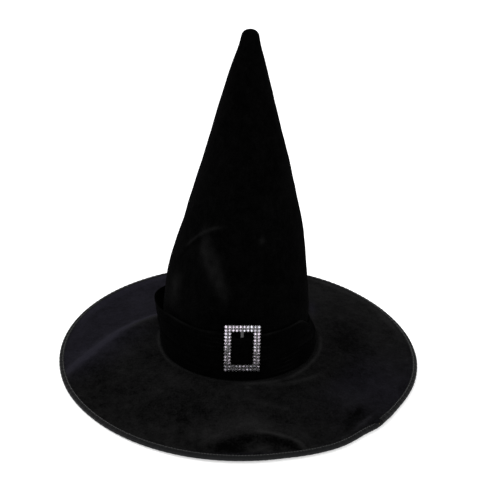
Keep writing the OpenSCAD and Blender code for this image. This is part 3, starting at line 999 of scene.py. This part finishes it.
def brim_painted_violet_sheen(radius, front):
    """Where the brim's pile gets a painted violet sheen: past the long fold, at the right and at the front
    edge.
    """
    degrees = np.degrees(front)
    plan = polar(radius, front, 0.0)
    x = plan[..., 0]
    y = plan[..., 1]
    past = side_line(x, y)
    left = 1 - rise(-0.060, -0.010, x)
    beyond = 1 - 0.8 * rise(0.0, 0.03, y) * (past < 0)
    cool = left * rise(-0.060, 0.002, past) * rise(-0.12, -0.06, y) * beyond
    cool = cool + 0.8 * hump(degrees, 62, 22) * rise(0.13, 0.16, radius)
    cool = cool + 0.8 * hump(degrees, 4, 8) * rise(0.215, 0.222, radius)
    return np.clip(cool + spot(x, y, (0.099, 0.085), (0.008, 0.02)), 0, 1)


# ---------------------------------------------------------------------------------------------
# Shape of the hatband
# ---------------------------------------------------------------------------------------------

BAND_STEPS = 640
FACE_STEPS = 84
BACK_STEPS = 14
ROLL_STEPS = 5


def band_top(shape, degrees):
    """Height of the hatband's top edge round the crown."""
    heights = [  # a place in degrees, and a height in millimetres
        (-180, 69.0), (-120, 67.0), (-88, 74.5), (-78, 73.5), (-52, 79.0), (-42, 77.8), (-28, 75.0),
        (-11, 77.2), (18, 73.8), (50, 74.2), (60, 71.5), (70, 58.0), (80, 48.0), (90, 43.5), (115, 42.0),
        (140, 45.0), (160, 57.0), (180, 69.0)]
    wrapped = (degrees + 180) % 360 - 180
    return soft_line(wrapped, heights, 6, 7) / 1000 - shape.dip * hump(wrapped, 2, 5.0)


def band_wrinkle(points):
    """Fine wrinkles along the hatband, from 0 to 1."""
    bent = points[..., 2] + 0.0022 * ripple(points, 0.075, 34)
    broken = np.clip(0.25 + ripple(points, 0.040, 35), 0, 1)
    return broken * np.clip(np.sin(FULL * bent / 0.0052), 0, 1) ** 3


def pleated_face(shape, wrapped, low, high):
    """Heights of the hatband's pleated face from the bottom up, and how far each point stands out."""
    free = 1 - hump(wrapped, 2, 24)
    face = np.linspace(0, 1, FACE_STEPS)[None]
    wobble = 0.30 * np.sin(np.radians(wrapped) * 2 + 0.6 + 2.2 * face)
    wobble = wobble + 0.16 * np.sin(np.radians(wrapped) * 5 + 4 * face)
    pleat = shape.pleats * face + wobble * free * np.sin(math.pi * face)
    within = FULL * (pleat % 1.0)
    number_of = np.floor(pleat)
    vary = 0.72 + 0.40 * np.sin(number_of * 2.4 + np.radians(wrapped) * 3)
    vary = vary + 0.25 * np.sin(number_of * 5.1 - np.radians(wrapped) * 7)
    ends = np.sin(math.pi * np.clip(face, 0.02, 0.98)) ** 0.25
    depth = shape.pleat_d * np.clip(vary, 0.25, 1.3) * (0.62 + 0.75 * free)
    crest = 0.5 - 0.5 * np.cos(within)
    slide = -0.13 * np.sin(within) - 0.20 * (crest - 0.5)
    level = np.clip(face + (slide / shape.pleats) * ends, 0, 1)
    return low + (high - low) * level, shape.cloth_t + depth * crest ** 0.8 * ends


def band_stand(shape, wrapped, z):
    """How far the hatband stands off the crown: wide open at the left, and pulled in at the right."""
    t = np.clip((z - BAND_LOW.z) / (BAND_HIGH.z - BAND_LOW.z), 0, 1.1)
    left = shape.stand_off * hump(wrapped, -89, 34) * t**1.6 + 0.0022 * hump(wrapped, -44, 16) * t
    right = 0.0020 * hump(wrapped, 95, 40) + 0.0052 * hump(wrapped, 102, 35) * rise(0.020, 0.043, z)
    return left - right + 0.0012 * hump(np.abs(wrapped), 180, 50) * t


def band_points(shape, crown, front, lift):
    """Sections of the hatband: its pleated face from the bottom up, and its back down again."""
    degrees = np.degrees(front)[:, None]
    wrapped = (degrees + 180) % 360 - 180
    low = BAND_LOW.z
    high = band_top(shape, degrees)
    face_z, face_out = pleated_face(shape, wrapped, low, high)
    turn_angle = np.linspace(0, math.pi, ROLL_STEPS + 2)[1:-1][None]
    back = np.linspace(1, 0, BACK_STEPS)[None]
    back_z = low + (high - low) * back
    half = shape.cloth_t / 2
    top_z = high + half * 0.9 * np.sin(turn_angle)
    top_out = half + half * np.cos(turn_angle)
    foot_z = low - 0.0004 * np.sin(turn_angle)
    foot_out = half - half * np.cos(turn_angle)
    z = np.concatenate([face_z, top_z, back_z, foot_z + 0 * degrees], 1)
    out = np.concatenate([face_out, top_out + 0 * degrees, 0 * back_z, foot_out + 0 * degrees], 1)
    points_at = polar(BASE_R, front[:, None], z)
    soft = 0.0007 * ripple(points_at, 0.050, 31) + 0.0004 * band_wrinkle(points_at) * (out > shape.cloth_t)
    soft = soft * (1 - hump(wrapped, 2, 24))
    wall = BASE_R - crown.wall_lean * (z - SEAT)
    radius = wall + shape.gap + band_stand(shape, wrapped, z) + soft + out + lift[:, None]
    points = polar(radius, front[:, None], z)
    follow = 0.25 + 0.75 * hump(wrapped, 85, 45)
    points[..., 0] += follow * crown_shift(crown, z)
    return points, out


def band_painted_light(shape, points, out, front):
    """Painted highlights on the hatband's pile: along the crests of its pleats, along its wrinkles and along
    its top edge.
    """
    degrees = (np.degrees(front)[:, None] + 180) % 360 - 180
    crest = np.clip((out - shape.cloth_t) / (1.8 * shape.pleat_d), 0, 1)
    patchy = np.clip(0.55 + 0.8 * ripple(points, 0.045, 33), 0, 1.5)
    below_top = band_top(shape, degrees) - points[..., 2]
    shown = rise(-74, -60, degrees) * (1 - rise(-24, -12, degrees))
    shown = shown + rise(12, 26, degrees) * (1 - rise(72, 80, degrees))
    lines = 0.34 * patchy**2 * crest**5 + 0.22 * patchy * band_wrinkle(points) ** 2 * (crest > 0)
    return lines + 0.22 * shown * (0.3 + patchy) * hump(below_top, 0.0005, 0.0013)


# ---------------------------------------------------------------------------------------------
# Operators
# ---------------------------------------------------------------------------------------------

def cloth_strip_angles(length_of_lap, radius, start, steps):
    """Angles once round and on through the lap, with 1 where the strip's start lies over its end."""
    extra = length_of_lap / radius
    angles = np.linspace(start, start + FULL + extra, steps)
    return angles, 1 - rise(start + extra, start + 2 * extra, angles)


class CrownOperator(bpy.types.Operator):
    """Makes the three cones of the crown: velvet, felt and lining"""

    bl_idname = "hat.crown"
    bl_label = "Crown"

    def execute(self, context):
        shape = context.scene.hat_crown
        look = context.scene.hat_finish
        front = around(CROWN_COLS, SEAM_LINES)[None]
        depths = np.cumsum([0, shape.velvet_t, shape.felt_t, shape.lining_t])
        # The crown's velvet has a low painted brightness level: it is a painted-shade copy of the brim's
        # velvet.
        pieces = [
            ("crown_velvet", "crown_velvet", "crown_shell",
             velvet("crown velvet", look, 0.045, 0.30, 0.14, 0.040)),
            ("crown_stiff_felt", "felt", "crown_felt", matted("stiff felt", (0.02,) * 3, (0.06,) * 3, 900)),
            ("crown_satin_lining", "lining_satin", "crown_lining",
             satin("lining satin", look.satin, tuple(2.2 * c for c in look.satin))),
        ]
        for (name, slot, node, material), outside, inside in zip(pieces, depths, depths[1:]):
            faces = []
            for inset in (outside, inside):
                radius, z = crown_line(shape, inset)
                faces.append(crown_points(shape, front, radius[:, None], z[:, None]))
            piece = shell(name, faces[0], faces[1], material, pole=True)
            if node == "crown_shell":
                # Painted highlights on the crown's velvet.
                values = crown_painted_light(front, z[:, None] + 0 * front)
                paint(piece, "nap", np.concatenate([values.ravel(), values.ravel(), [0, 0]]))
            place_piece(piece, "hat", slot, node)
            slant, area = fan_pattern(*crown_line(shape, outside))
            "hung" if slot == "lining_satin" else "stretched"
        return {"FINISHED"}


class BackSeamOperator(bpy.types.Operator):
    """Sews the back seam of the crown with slip stitches"""

    bl_idname = "hat.back_seam"
    bl_label = "Back seam stitches"

    def execute(self, context):
        shape = context.scene.hat_crown
        sewing = context.scene.hat_sewing
        z = np.linspace(SEAT + shape.wall_h, CROWN_HIGH.z - 3 * shape.tip_r, 200)
        points = crown_points(shape, np.full_like(z, math.pi), crown_radius(shape, z), z)
        thread = spun("seam thread", tuple(0.45 * c for c in context.scene.hat_finish.thread))
        piece = grow("back_seam_slip_stitches", bpy.data.node_groups["Stitches along a path"], {
            "Stitch length": sewing.hand_l, "Gap": sewing.hand_gap, "Thread radius": sewing.thread_r * 1.2,
            "Material": thread}, points, [(i, i + 1) for i in range(len(z) - 1)])
        place_piece(piece, "hat", "black_thread", "back_seam_stitches")
        return {"FINISHED"}


class BrimOperator(bpy.types.Operator):
    """Makes the three layers of the brim: velvet, buckram and the cloth below"""

    bl_idname = "hat.brim"
    bl_label = "Brim"

    def execute(self, context):
        shape = context.scene.hat_brim
        look = context.scene.hat_finish
        front = around(BRIM_COLS)[None]
        outer_r = LAYER_HIGH.x
        middle_r = BASE_R + 0.030
        close = np.linspace(SWEAT_R, middle_r, BRIM_ROWS // 3, endpoint=False)
        far = np.linspace(middle_r, outer_r, BRIM_ROWS - len(close))
        radius = np.concatenate([close, far])[:, None]
        depths = [0, shape.velvet_t, shape.velvet_t + shape.buckram_t, BRIM_T]
        # The brim's velvet has a high painted brightness level: it is a painted-light copy of the crown's
        # velvet.
        pieces = [
            ("brim_velvet", "brim_velvet", "brim_top",
             velvet("brim velvet", look, 0.30, 1.0, 0.52, 0.034)),
            ("brim_stiff_buckram", "buckram", "brim_buckram",
             matted("buckram", (0.42, 0.40, 0.34), (0.62, 0.60, 0.53), 500)),
            ("brim_under_velour", "under_cloth", "brim_underside",
             velvet("under velour", look, 0.22, 0.8, 0.25, 0.030)),
        ]
        for (name, slot, node, material), upper, lower in zip(pieces, depths, depths[1:]):
            top = brim_points(shape, radius, front, upper)
            bottom = brim_points(shape, radius, front, lower)
            piece = shell(name, top, bottom, material)
            if node == "brim_top":
                # Painted light and shade, and the painted violet sheen, on the brim's velvet.
                paint(piece, "nap", np.tile(brim_painted_light(radius, front).ravel(), 2))
                paint(piece, "cool", np.tile(brim_painted_violet_sheen(radius, front).ravel(), 2))
            place_piece(piece, "hat", slot, node)
        return {"FINISHED"}


class EdgeOperator(bpy.types.Operator):
    """Makes the wire in the brim's edge, its ferrule and the binding with its lap"""

    bl_idname = "hat.edge"
    bl_label = "Brim edge"

    def execute(self, context):
        shape = context.scene.hat_brim
        look = context.scene.hat_finish
        self.wire(shape)
        self.binding(shape, look)
        return {"FINISHED"}

    def tube(self, shape, name, angles, radius, hole, material):
        """A round bar along the edge, or a tube where hole isn't 0."""
        wire_r = (WIRE_HIGH.y - WIRE_LOW.y) / 2 - (WIRE_HIGH.z - WIRE_LOW.z) / 2
        line = brim_points(shape, wire_r, angles, BRIM_T / 2)
        turn_angle = np.linspace(0, FULL, 12, endpoint=False)
        outward = polar(1.0, angles, 0.0)[:, None, :]
        upward = np.array([0.0, 0.0, 1.0])

        def ring(r):
            return line[:, None] + r * (np.cos(turn_angle)[None, :, None] * outward
                                        + np.sin(turn_angle)[None, :, None] * upward)

        along = angles * wire_r
        if not hole:
            return strip(name, ring(radius), material, along, turn_angle * radius)
        outer = ring(radius)
        return shell(name, outer, ring(hole), material)

    def wire(self, shape):
        """The spring wire and the crimped tube that joins its ends."""
        radius = (WIRE_HIGH.z - WIRE_LOW.z) / 2
        angles = np.linspace(shape.join + 0.003, shape.join + FULL - 0.003, 600)
        steel = plated("spring steel", (0.42, 0.43, 0.44), 0.25, 0.2)
        wire = self.tube(shape, "brim_spring_wire", angles, radius, 0, steel)
        place_piece(wire, "hat", "spring_wire", "brim_wire")
        spread = shape.ferrule_l / BRIM_R
        angles = np.linspace(shape.join - spread / 2, shape.join + spread / 2, 13)
        brass = plated("drawn brass", (0.72, 0.53, 0.24), 0.22, 0.25)
        bore = radius + 0.00003
        ferrule = self.tube(shape, "wire_crimp_ferrule", angles, bore + shape.ferrule_t, bore, brass)
        place_piece(ferrule, "hat", "ferrule_brass", "wire_ferrule")

    def tape_section(self, shape):
        """The tape's section: out along its lower leaf, round the edge and back, and then its inside."""
        half = BRIM_T / 2
        thick = shape.binding_t
        inner_r = BRIM_R - shape.binding_w
        leaf = [inner_r, inner_r + 0.002]
        nose = np.linspace(-math.pi / 2, math.pi / 2, 11)
        middle = BRIM_R - half - thick
        outer_x = np.concatenate([leaf, middle + (half + thick) * np.cos(nose), leaf[::-1]])
        outer_z = np.concatenate([[-half - thick] * 2, (half + thick) * np.sin(nose), [half + thick] * 2])
        inside_x = np.concatenate([leaf, middle + half * np.cos(nose), leaf[::-1]])[::-1]
        inside_z = np.concatenate([[-half] * 2, half * np.sin(nose), [half] * 2])[::-1]
        face = np.concatenate([np.ones(len(outer_x)), np.zeros(len(inside_x))])
        return np.concatenate([outer_x, inside_x]), np.concatenate([outer_z, inside_z]), face

    def binding(self, shape, look):
        """The bias binding, with small puckers along it and its lap at the join."""
        steps = 1500
        angles, risen = cloth_strip_angles(shape.lap_l, BRIM_R, shape.join, steps)
        pucker = 0.00010 * np.sin(angles * BRIM_R / 0.0033 * FULL) + 0.00016 * np.sin(angles * 173)
        half = BRIM_T / 2
        inner_r = BRIM_R - shape.binding_w
        section_x, section_z, face = self.tape_section(shape)
        upper = (section_z > half) * face
        raise_by = risen[:, None] * shape.lap_rise
        centre = brim_points(shape, BRIM_R - 0.004, angles, half)
        radius = section_x[None] + (pucker[:, None] * 0.6 + raise_by) * (section_x > inner_r + 0.003)[None]
        z_offset = section_z[None] + upper[None] * (pucker[:, None] + raise_by)
        inner_lip = (section_x < inner_r + 0.001)[None] * 0.00035
        z_offset = z_offset - inner_lip * np.sign(section_z)[None] * face[None]
        reach = brim_reach(shape, BRIM_R, angles)[:, None] - BRIM_R
        points = polar(radius + reach, angles[:, None], centre[:, 2][:, None] + z_offset)
        width = np.concatenate([[0], np.cumsum(np.hypot(np.diff(section_x), np.diff(section_z)))])
        # The colour of the painted highlight along the tape's rounded edge.
        light = tuple(4.5 * c for c in look.binding)
        tape = woven("binding tape", look.binding, light, 0.0011, 0.0011, 0.10)
        piece = strip("brim_edge_binding", points, tape, angles * BRIM_R, width)
        # Painted highlight along the tape's rounded outer edge.
        rubbed = face * hump(section_x, BRIM_R + 0.0004, 0.0015)
        paint(piece, "rubbed", np.append(np.tile(rubbed, steps), [0, 0]))
        place_piece(piece, "hat", "binding_tape", "edge_binding")


class EdgeStitchOperator(bpy.types.Operator):
    """Sews the binding to the brim with machine stitches"""

    bl_idname = "hat.edge_stitches"
    bl_label = "Binding stitches"

    def execute(self, context):
        shape = context.scene.hat_brim
        sewing = context.scene.hat_sewing
        angles = np.linspace(shape.join + 0.02, shape.join + FULL - 0.05, 1400)
        line = brim_points(shape, BRIM_R - 0.004, angles, 0.0)
        stitch_r = BRIM_R - shape.binding_w + 0.0014
        reach = brim_reach(shape, BRIM_R, angles) - BRIM_R
        points = polar(stitch_r + reach, angles, line[:, 2] + shape.binding_t + sewing.thread_r * 0.3)
        piece = grow("binding_machine_stitches", bpy.data.node_groups["Stitches along a path"], {
            "Stitch length": sewing.stitch_l, "Gap": sewing.stitch_gap, "Thread radius": sewing.thread_r,
            "Material": spun("binding thread", context.scene.hat_finish.thread)},
            points, [(i, i + 1) for i in range(len(angles) - 1)])
        place_piece(piece, "hat", "binding_thread", "binding_stitches")
        return {"FINISHED"}


class BaseStitchOperator(bpy.types.Operator):
    """Sews the crown to the brim, and tacks the hatband to the crown"""

    bl_idname = "hat.base_stitches"
    bl_label = "Base stitches and tacks"

    def execute(self, context):
        crown = context.scene.hat_crown
        sewing = context.scene.hat_sewing
        band = context.scene.hat_band
        tree = bpy.data.node_groups["Thread along paths"]
        thread = spun("black thread", tuple(0.4 * c for c in context.scene.hat_finish.thread))
        radius = sewing.thread_r
        values = {"Thread radius": radius, "Material": thread}
        profile = [(BASE_R + 0.0018, SEAT + radius), (BASE_R + 0.7 * radius, SEAT + radius),
                   (crown_radius(crown, SEAT + 0.004) + radius, SEAT + 0.004)]
        angles = np.linspace(0, FULL, sewing.seam_count, endpoint=False)
        points = [polar(r, a, z) for a in angles for r, z in profile]
        edges = [(3 * i + j, 3 * i + j + 1) for i in range(len(angles)) for j in (0, 1)]
        piece = grow("crown_base_hand_stitches", tree, values, points, edges)
        place_piece(piece, "hat", "black_thread", "crown_base_stitches")
        points = []
        for step in range(7):
            angle = math.radians(180 + (step - 3) * 38)
            for z in (BAND_LOW.z + 0.0054, BAND_LOW.z + 0.022):
                wall = crown_points(crown, angle, crown_radius(crown, z), np.array(z))
                points += [wall, wall + polar(0.8 * band.gap, angle, 0.0003)]
        edges = [(2 * i, 2 * i + 1) for i in range(len(points) // 2)]
        piece = grow("hatband_hand_tacks", tree, values, points, edges)
        place_piece(piece, "hat", "black_thread", "hatband_tacks")
        return {"FINISHED"}


class SweatbandOperator(bpy.types.Operator):
    """Makes the grosgrain sweatband and its stitches"""

    bl_idname = "hat.sweatband"
    bl_label = "Sweatband"

    def execute(self, context):
        sewing = context.scene.hat_sewing
        thick = SWEAT_R - HEAD_R
        lap_l = 0.018
        angles, risen = cloth_strip_angles(lap_l, SWEAT_R, math.pi - 0.1, 720)
        low, high = SWEAT_LOW.z, SWEAT_HIGH.z
        radius = np.array([SWEAT_R, SWEAT_R, SWEAT_R - thick, SWEAT_R - thick])
        height = np.array([low, high, high, low])
        soft = 0.00008 * np.sin(angles * 9)[:, None] * (height > low)
        lap = risen[:, None] * (thick + 0.0001)
        points = polar(radius[None] - lap + soft, angles[:, None], height[None] + 0 * lap)
        ribbon = grosgrain("grosgrain ribbon", (0.008,) * 3, (0.022, 0.022, 0.023), 0.0009)
        across = np.array([0, high - low, high - low + thick, 2 * (high - low) + thick])
        piece = strip("sweatband_ribbon", points, ribbon, angles * SWEAT_R, across)
        place_piece(piece, "hat", "grosgrain", "sweatband")
        turns = np.linspace(0, FULL, 2 * sewing.seam_count, endpoint=False)
        points = []
        level = low - 0.0001
        for angle in turns:
            points += [polar(SWEAT_R - 0.0002, angle, level), polar(SWEAT_R + 0.0022, angle + 0.012, level)]
        edges = [(2 * i, 2 * i + 1) for i in range(len(turns))]
        thread = spun("sweatband thread", context.scene.hat_finish.thread)
        piece = grow("sweatband_hand_stitches", bpy.data.node_groups["Thread along paths"],
                     {"Thread radius": sewing.thread_r, "Material": thread}, points, edges)
        place_piece(piece, "hat", "binding_thread", "sweatband_stitches")
        return {"FINISHED"}


class HatbandOperator(bpy.types.Operator):
    """Makes the pleated hatband, which dips a little where it passes over the buckle's bar"""

    bl_idname = "hat.hatband"
    bl_label = "Hatband"

    def execute(self, context):
        shape = context.scene.hat_band
        crown = context.scene.hat_crown
        look = context.scene.hat_finish
        front, risen = cloth_strip_angles(shape.lap_l, BASE_R, math.pi, BAND_STEPS)
        points, out = band_points(shape, crown, front - FULL, risen * 0.0034)
        across = np.concatenate([[0], np.cumsum(np.linalg.norm(np.diff(points[0], axis=0), axis=1))])
        # The hatband's velvet has a low painted brightness level: it is a painted-shade copy of the brim's
        # velvet.
        material = velvet("band velvet", look, 0.03, 0.22, 0.10, 0.024)
        piece = strip("velvet_hatband", points, material, front * BASE_R, across)
        # Painted highlights on the hatband's velvet.
        paint(piece, "nap", np.append(band_painted_light(shape, points, out, front - FULL).ravel(), [0, 0]))
        place_piece(piece, "hat", "band_velvet", "hatband")
        return {"FINISHED"}


def front_matrix(buckle, crown):
    """The buckle's own frame: X across, Y up the wall, Z outwards from the back of the plate."""
    lean = math.atan(crown.wall_lean)
    turned = Matrix.Rotation(buckle.turn, 4, "Z") @ Matrix.Rotation(math.pi / 2 - lean, 4, "X")
    centre = (PLATE_LOW + PLATE_HIGH) / 2
    back = centre - turned.to_3x3() @ Vector((0, 0, buckle.plate_t / 2))
    return Matrix.Translation(back) @ turned


def pattern_object(name, points, faces, smooth_below):
    """A pattern piece that a tree repeats. It is removed once the tree has run."""
    mesh = bpy.data.meshes.new(name)
    mesh.from_pydata([tuple(p) for p in points], [], faces)
    work = bmesh.new()
    work.from_mesh(mesh)
    bmesh.ops.recalc_face_normals(work, faces=work.faces)
    work.to_mesh(mesh)
    work.free()
    mesh.polygons.foreach_set("use_smooth", [smooth_below > 0] * len(mesh.polygons))
    if smooth_below > 0:
        mesh.set_sharp_from_angle(angle=math.radians(smooth_below))
    made = bpy.data.objects.new(name, mesh)
    bpy.context.scene.collection.objects.link(made)
    return made


def stone_pattern(radius, height):
    """A round brilliant with a flat back: table, star, kite and girdle facets."""
    def ring(count, r, z, shift):
        return [(r * math.cos(FULL * (i + shift) / count), r * math.sin(FULL * (i + shift) / count), z)
                for i in range(count)]

    table = ring(8, 0.52 * radius, height, 0)
    middle = ring(8, 0.80 * radius, 0.74 * height, 0.5)
    girdle = ring(16, radius, 0.42 * height, 0)
    skirt = ring(16, radius, 0.32 * height, 0)
    base = ring(16, 0.86 * radius, 0, 0)
    points = table + middle + girdle + skirt + base
    t, m, g, s, b = 0, 8, 16, 32, 48
    faces = [tuple(range(8)), tuple(range(b, b + 16))]
    for i in range(8):
        nxt = (i + 1) % 8
        faces.append((t + i, m + i, t + nxt))
        faces.append((t + nxt, m + i, g + (2 * i + 2) % 16, m + nxt))
        faces.append((m + i, g + 2 * i, g + 2 * i + 1))
        faces.append((m + i, g + 2 * i + 1, g + (2 * i + 2) % 16))
    for j in range(16):
        k = (j + 1) % 16
        faces.append((g + j, g + k, s + k, s + j))
        faces.append((s + j, s + k, b + k, b + j))
    return pattern_object("stone pattern", points, faces, 0)


def cup_pattern(radius, wall, height):
    """A thin round cup whose four claws bend over the stone."""
    steps = 20
    inner = radius - wall
    floor_z = 0.0004
    rim_z = 0.62 * height
    turns = [FULL * j / steps for j in range(steps)]
    profile = [(radius * 0.92, 0.0), (radius, 0.00025), (radius, rim_z), (inner, rim_z), (inner, floor_z)]
    points = [(0, 0, 0), (0, 0, floor_z)]
    rows = []
    for r, z in profile:
        rows.append(len(points))
        points += [(r * math.cos(angle), r * math.sin(angle), z) for angle in turns]
    faces = []
    for low, high in zip(rows, rows[1:]):
        faces += [(low + j, low + (j + 1) % steps, high + (j + 1) % steps, high + j) for j in range(steps)]
    faces += [(0, rows[0] + j, rows[0] + (j + 1) % steps) for j in range(steps)]
    faces += [(1, rows[-1] + j, rows[-1] + (j + 1) % steps) for j in range(steps)]
    claw = [(radius, 0.55), (radius, 0.92), (radius - 0.0002, 1.06), (radius - 0.00062, 1.13)]
    for quarter in range(4):
        angle = FULL * (quarter + 0.5) / 4
        first = len(points)
        for r, z in claw:
            for depth in (0, wall * 0.8):
                for side in (-1, 1):
                    place = angle + side * 0.30 * (1.15 - 0.35 * z)
                    points.append(((r - depth) * math.cos(place), (r - depth) * math.sin(place),
                                   z * height - depth * 0.2))
        for i in range(len(claw) - 1):
            a = first + 4 * i
            for one, two in ((0, 1), (1, 3), (3, 2), (2, 0)):
                faces.append((a + one, a + two, a + 4 + two, a + 4 + one))
        faces.append((first, first + 1, first + 3, first + 2))
        end = first + 4 * (len(claw) - 1)
        faces.append((end, end + 1, end + 3, end + 2))
    return pattern_object("cup pattern", points, faces, 40)


class BuckleOperator(bpy.types.Operator):
    """Gives the buckle's plate and bar their plating, and sets its cups and stones"""

    bl_idname = "hat.buckle"
    bl_label = "Buckle"

    def execute(self, context):
        shape = context.scene.hat_buckle
        look = context.scene.hat_finish
        matrix = front_matrix(shape, context.scene.hat_crown)
        # The plate and the bar share the buckle's one plating, painted darker as painted shade, the bar
        # most, where the hatband passes over it.
        for node, shaded_share, roughness in (("buckle_plate", 0.30, 0.22), ("buckle_bar", 0.12, 0.34)):
            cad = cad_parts[node]
            cad.data.materials.clear()
            tone = tuple(shaded_share * c for c in look.metal)
            cad.data.materials.append(plated(node + " plating", tone, roughness, 0.15))
        common = {"Width": shape.width, "Height": shape.height, "Side width": shape.side_w,
                  "Pitch": shape.pitch}
        cup = cup_pattern(shape.cup_r, 0.0003, shape.cup_h)
        # The cups have the buckle's plating painted darker, as the painted shade between the stones.
        made = grow("buckle_stone_cups", setting_tree(5), {
            **common, "Pattern": cup, "Lift": shape.plate_t, "Spin": 0.0, "Tilt": 0.0,
            "Material": plated("cup plating", tuple(0.28 * c for c in look.metal), 0.2, 0.1)}, matrix=matrix)
        place_piece(made, "buckle", "cup_metal", "stone_cups")
        stone = stone_pattern(shape.stone_r, shape.stone_h)
        made = grow("buckle_rhinestones", setting_tree(9), {
            **common, "Pattern": stone, "Lift": shape.plate_t + 0.0005, "Spin": FULL,
            "Tilt": math.radians(4), "Material": crystal("foiled crystal", look.crystal)}, matrix=matrix)
        place_piece(made, "buckle", "crystal", "rhinestones")
        for pattern in (cup, stone):
            bpy.data.objects.remove(pattern)
        return {"FINISHED"}


class StageOperator(bpy.types.Operator):
    """Makes the pale floor, the soft lights and the camera"""

    bl_idname = "hat.stage"
    bl_label = "Stage"

    def execute(self, context):
        scene = context.scene
        look = scene.hat_finish
        half = 14.0
        mesh = bpy.data.meshes.new("floor")
        corners = [(-half, -half, 0), (half, -half, 0), (half, half, 0), (-half, half, 0)]
        mesh.from_pydata(corners, [], [(0, 1, 2, 3)])
        floor = bpy.data.objects.new("floor", mesh)
        scene.collection.objects.link(floor)
        material, board = new_material("pale floor")
        place = board.get("ShaderNodeTexCoord", {}, {}, "Object")
        duller = rgba(tuple(0.985 * c for c in look.floor))
        tone = board.blend(board.noise(place, 3.0), rgba(look.floor), duller)
        board.finish_material(Base_Color=tone, Roughness=0.9, Specular=0.1, Emission_Color=(1, 1, 1, 1),
                              Emission_Strength=0.42)
        mesh.materials.append(material)
        world = bpy.data.worlds.new("studio")
        world.use_nodes = True
        board = Board(world.node_tree)
        direction = board.get("ShaderNodeTexCoord", {}, {}, "Generated")
        split = board.node("ShaderNodeSeparateXYZ", {}, {"Vector": direction})
        above = board.ramp(Field(board, split.outputs[2]), 0.0, 0.75)
        sky = board.get("ShaderNodeBackground", {}, {
            "Color": board.blend(above, (0.55, 0.55, 0.56, 1), (1, 1, 1, 1)), "Strength": 0.86})
        board.node("ShaderNodeOutputWorld", {}, {"Surface": sky})
        scene.world = world
        self.sun("key", 1.35, 35, (-0.55, 0.45, 1.0), (1.0, 0.99, 1.0))
        self.sun("fill", 0.35, 60, (0.6, -0.7, 0.9), (1.0, 1.0, 0.98))
        self.camera(scene)
        scene.view_settings.view_transform = "Standard"
        return {"FINISHED"}

    def sun(self, name, strength, softness, towards, tint):
        """A soft, even light that shines from a direction."""
        light = bpy.data.lights.new(name, "SUN")
        light.energy = strength
        light.angle = math.radians(softness)
        light.color = tint
        holder = bpy.data.objects.new(name, light)
        holder.rotation_mode = "QUATERNION"
        holder.rotation_quaternion = Vector(towards).to_track_quat("Z", "Y")
        bpy.context.scene.collection.objects.link(holder)

    def camera(self, scene):
        """A camera above the front, a metre from the hat, turned a little clockwise."""
        pitch = math.radians(25.32)
        roll = math.radians(1.81)
        focal_share = 1.6081  # focal length as a share of the picture's width
        right = Vector((1, 0, 0))
        up = Vector((0, math.sin(pitch), math.cos(pitch)))
        ahead = Vector((0, math.cos(pitch), -math.sin(pitch)))
        across = math.cos(roll) * right + math.sin(roll) * up
        upright = -math.sin(roll) * right + math.cos(roll) * up
        data = bpy.data.cameras.new("camera")
        data.lens = focal_share * data.sensor_width
        camera = bpy.data.objects.new("camera", data)
        axes = Matrix((across, upright, -ahead)).transposed()
        camera.matrix_world = Matrix.Translation((0.0108, -0.8959, 0.5642)) @ axes.to_4x4()
        scene.collection.objects.link(camera)
        scene.camera = camera


PROPERTIES = {"hat_crown": CrownShape, "hat_brim": BrimShape, "hat_band": BandShape,
              "hat_buckle": BuckleShape, "hat_sewing": SewingShape, "hat_finish": Finishes}
OPERATORS = [StageOperator, CrownOperator, BackSeamOperator, BrimOperator, EdgeOperator, EdgeStitchOperator,
             BaseStitchOperator, SweatbandOperator, HatbandOperator, BuckleOperator]


class HatPanel(bpy.types.Panel):
    """Lists the pieces of the hat and their sizes"""

    bl_idname = "VIEW3D_PT_witch_hat"
    bl_label = "Witch hat"
    bl_space_type = "VIEW_3D"
    bl_region_type = "UI"
    bl_category = "Witch hat"

    def draw(self, context):
        for operator in OPERATORS:
            self.layout.operator(operator.bl_idname)
        for name, group in PROPERTIES.items():
            box = self.layout.box()
            box.label(text=group.__doc__)
            for field in group.__annotations__:
                box.prop(getattr(context.scene, name), field)


def register():
    for item in [*PROPERTIES.values(), *OPERATORS, HatPanel]:
        bpy.utils.register_class(item)
    for name, group in PROPERTIES.items():
        setattr(bpy.types.Scene, name, bpy.props.PointerProperty(type=group))


def unregister():
    for name in PROPERTIES:
        delattr(bpy.types.Scene, name)
    for item in [HatPanel, *reversed(OPERATORS), *reversed(PROPERTIES.values())]:
        bpy.utils.unregister_class(item)


def main():
    """Builds the hat piece by piece."""
    register()
    stitch_tree()
    thread_tree()
    for operator in OPERATORS:
        group, name = operator.bl_idname.split(".")
        getattr(getattr(bpy.ops, group), name)()


if __name__ == "__main__":
    main()
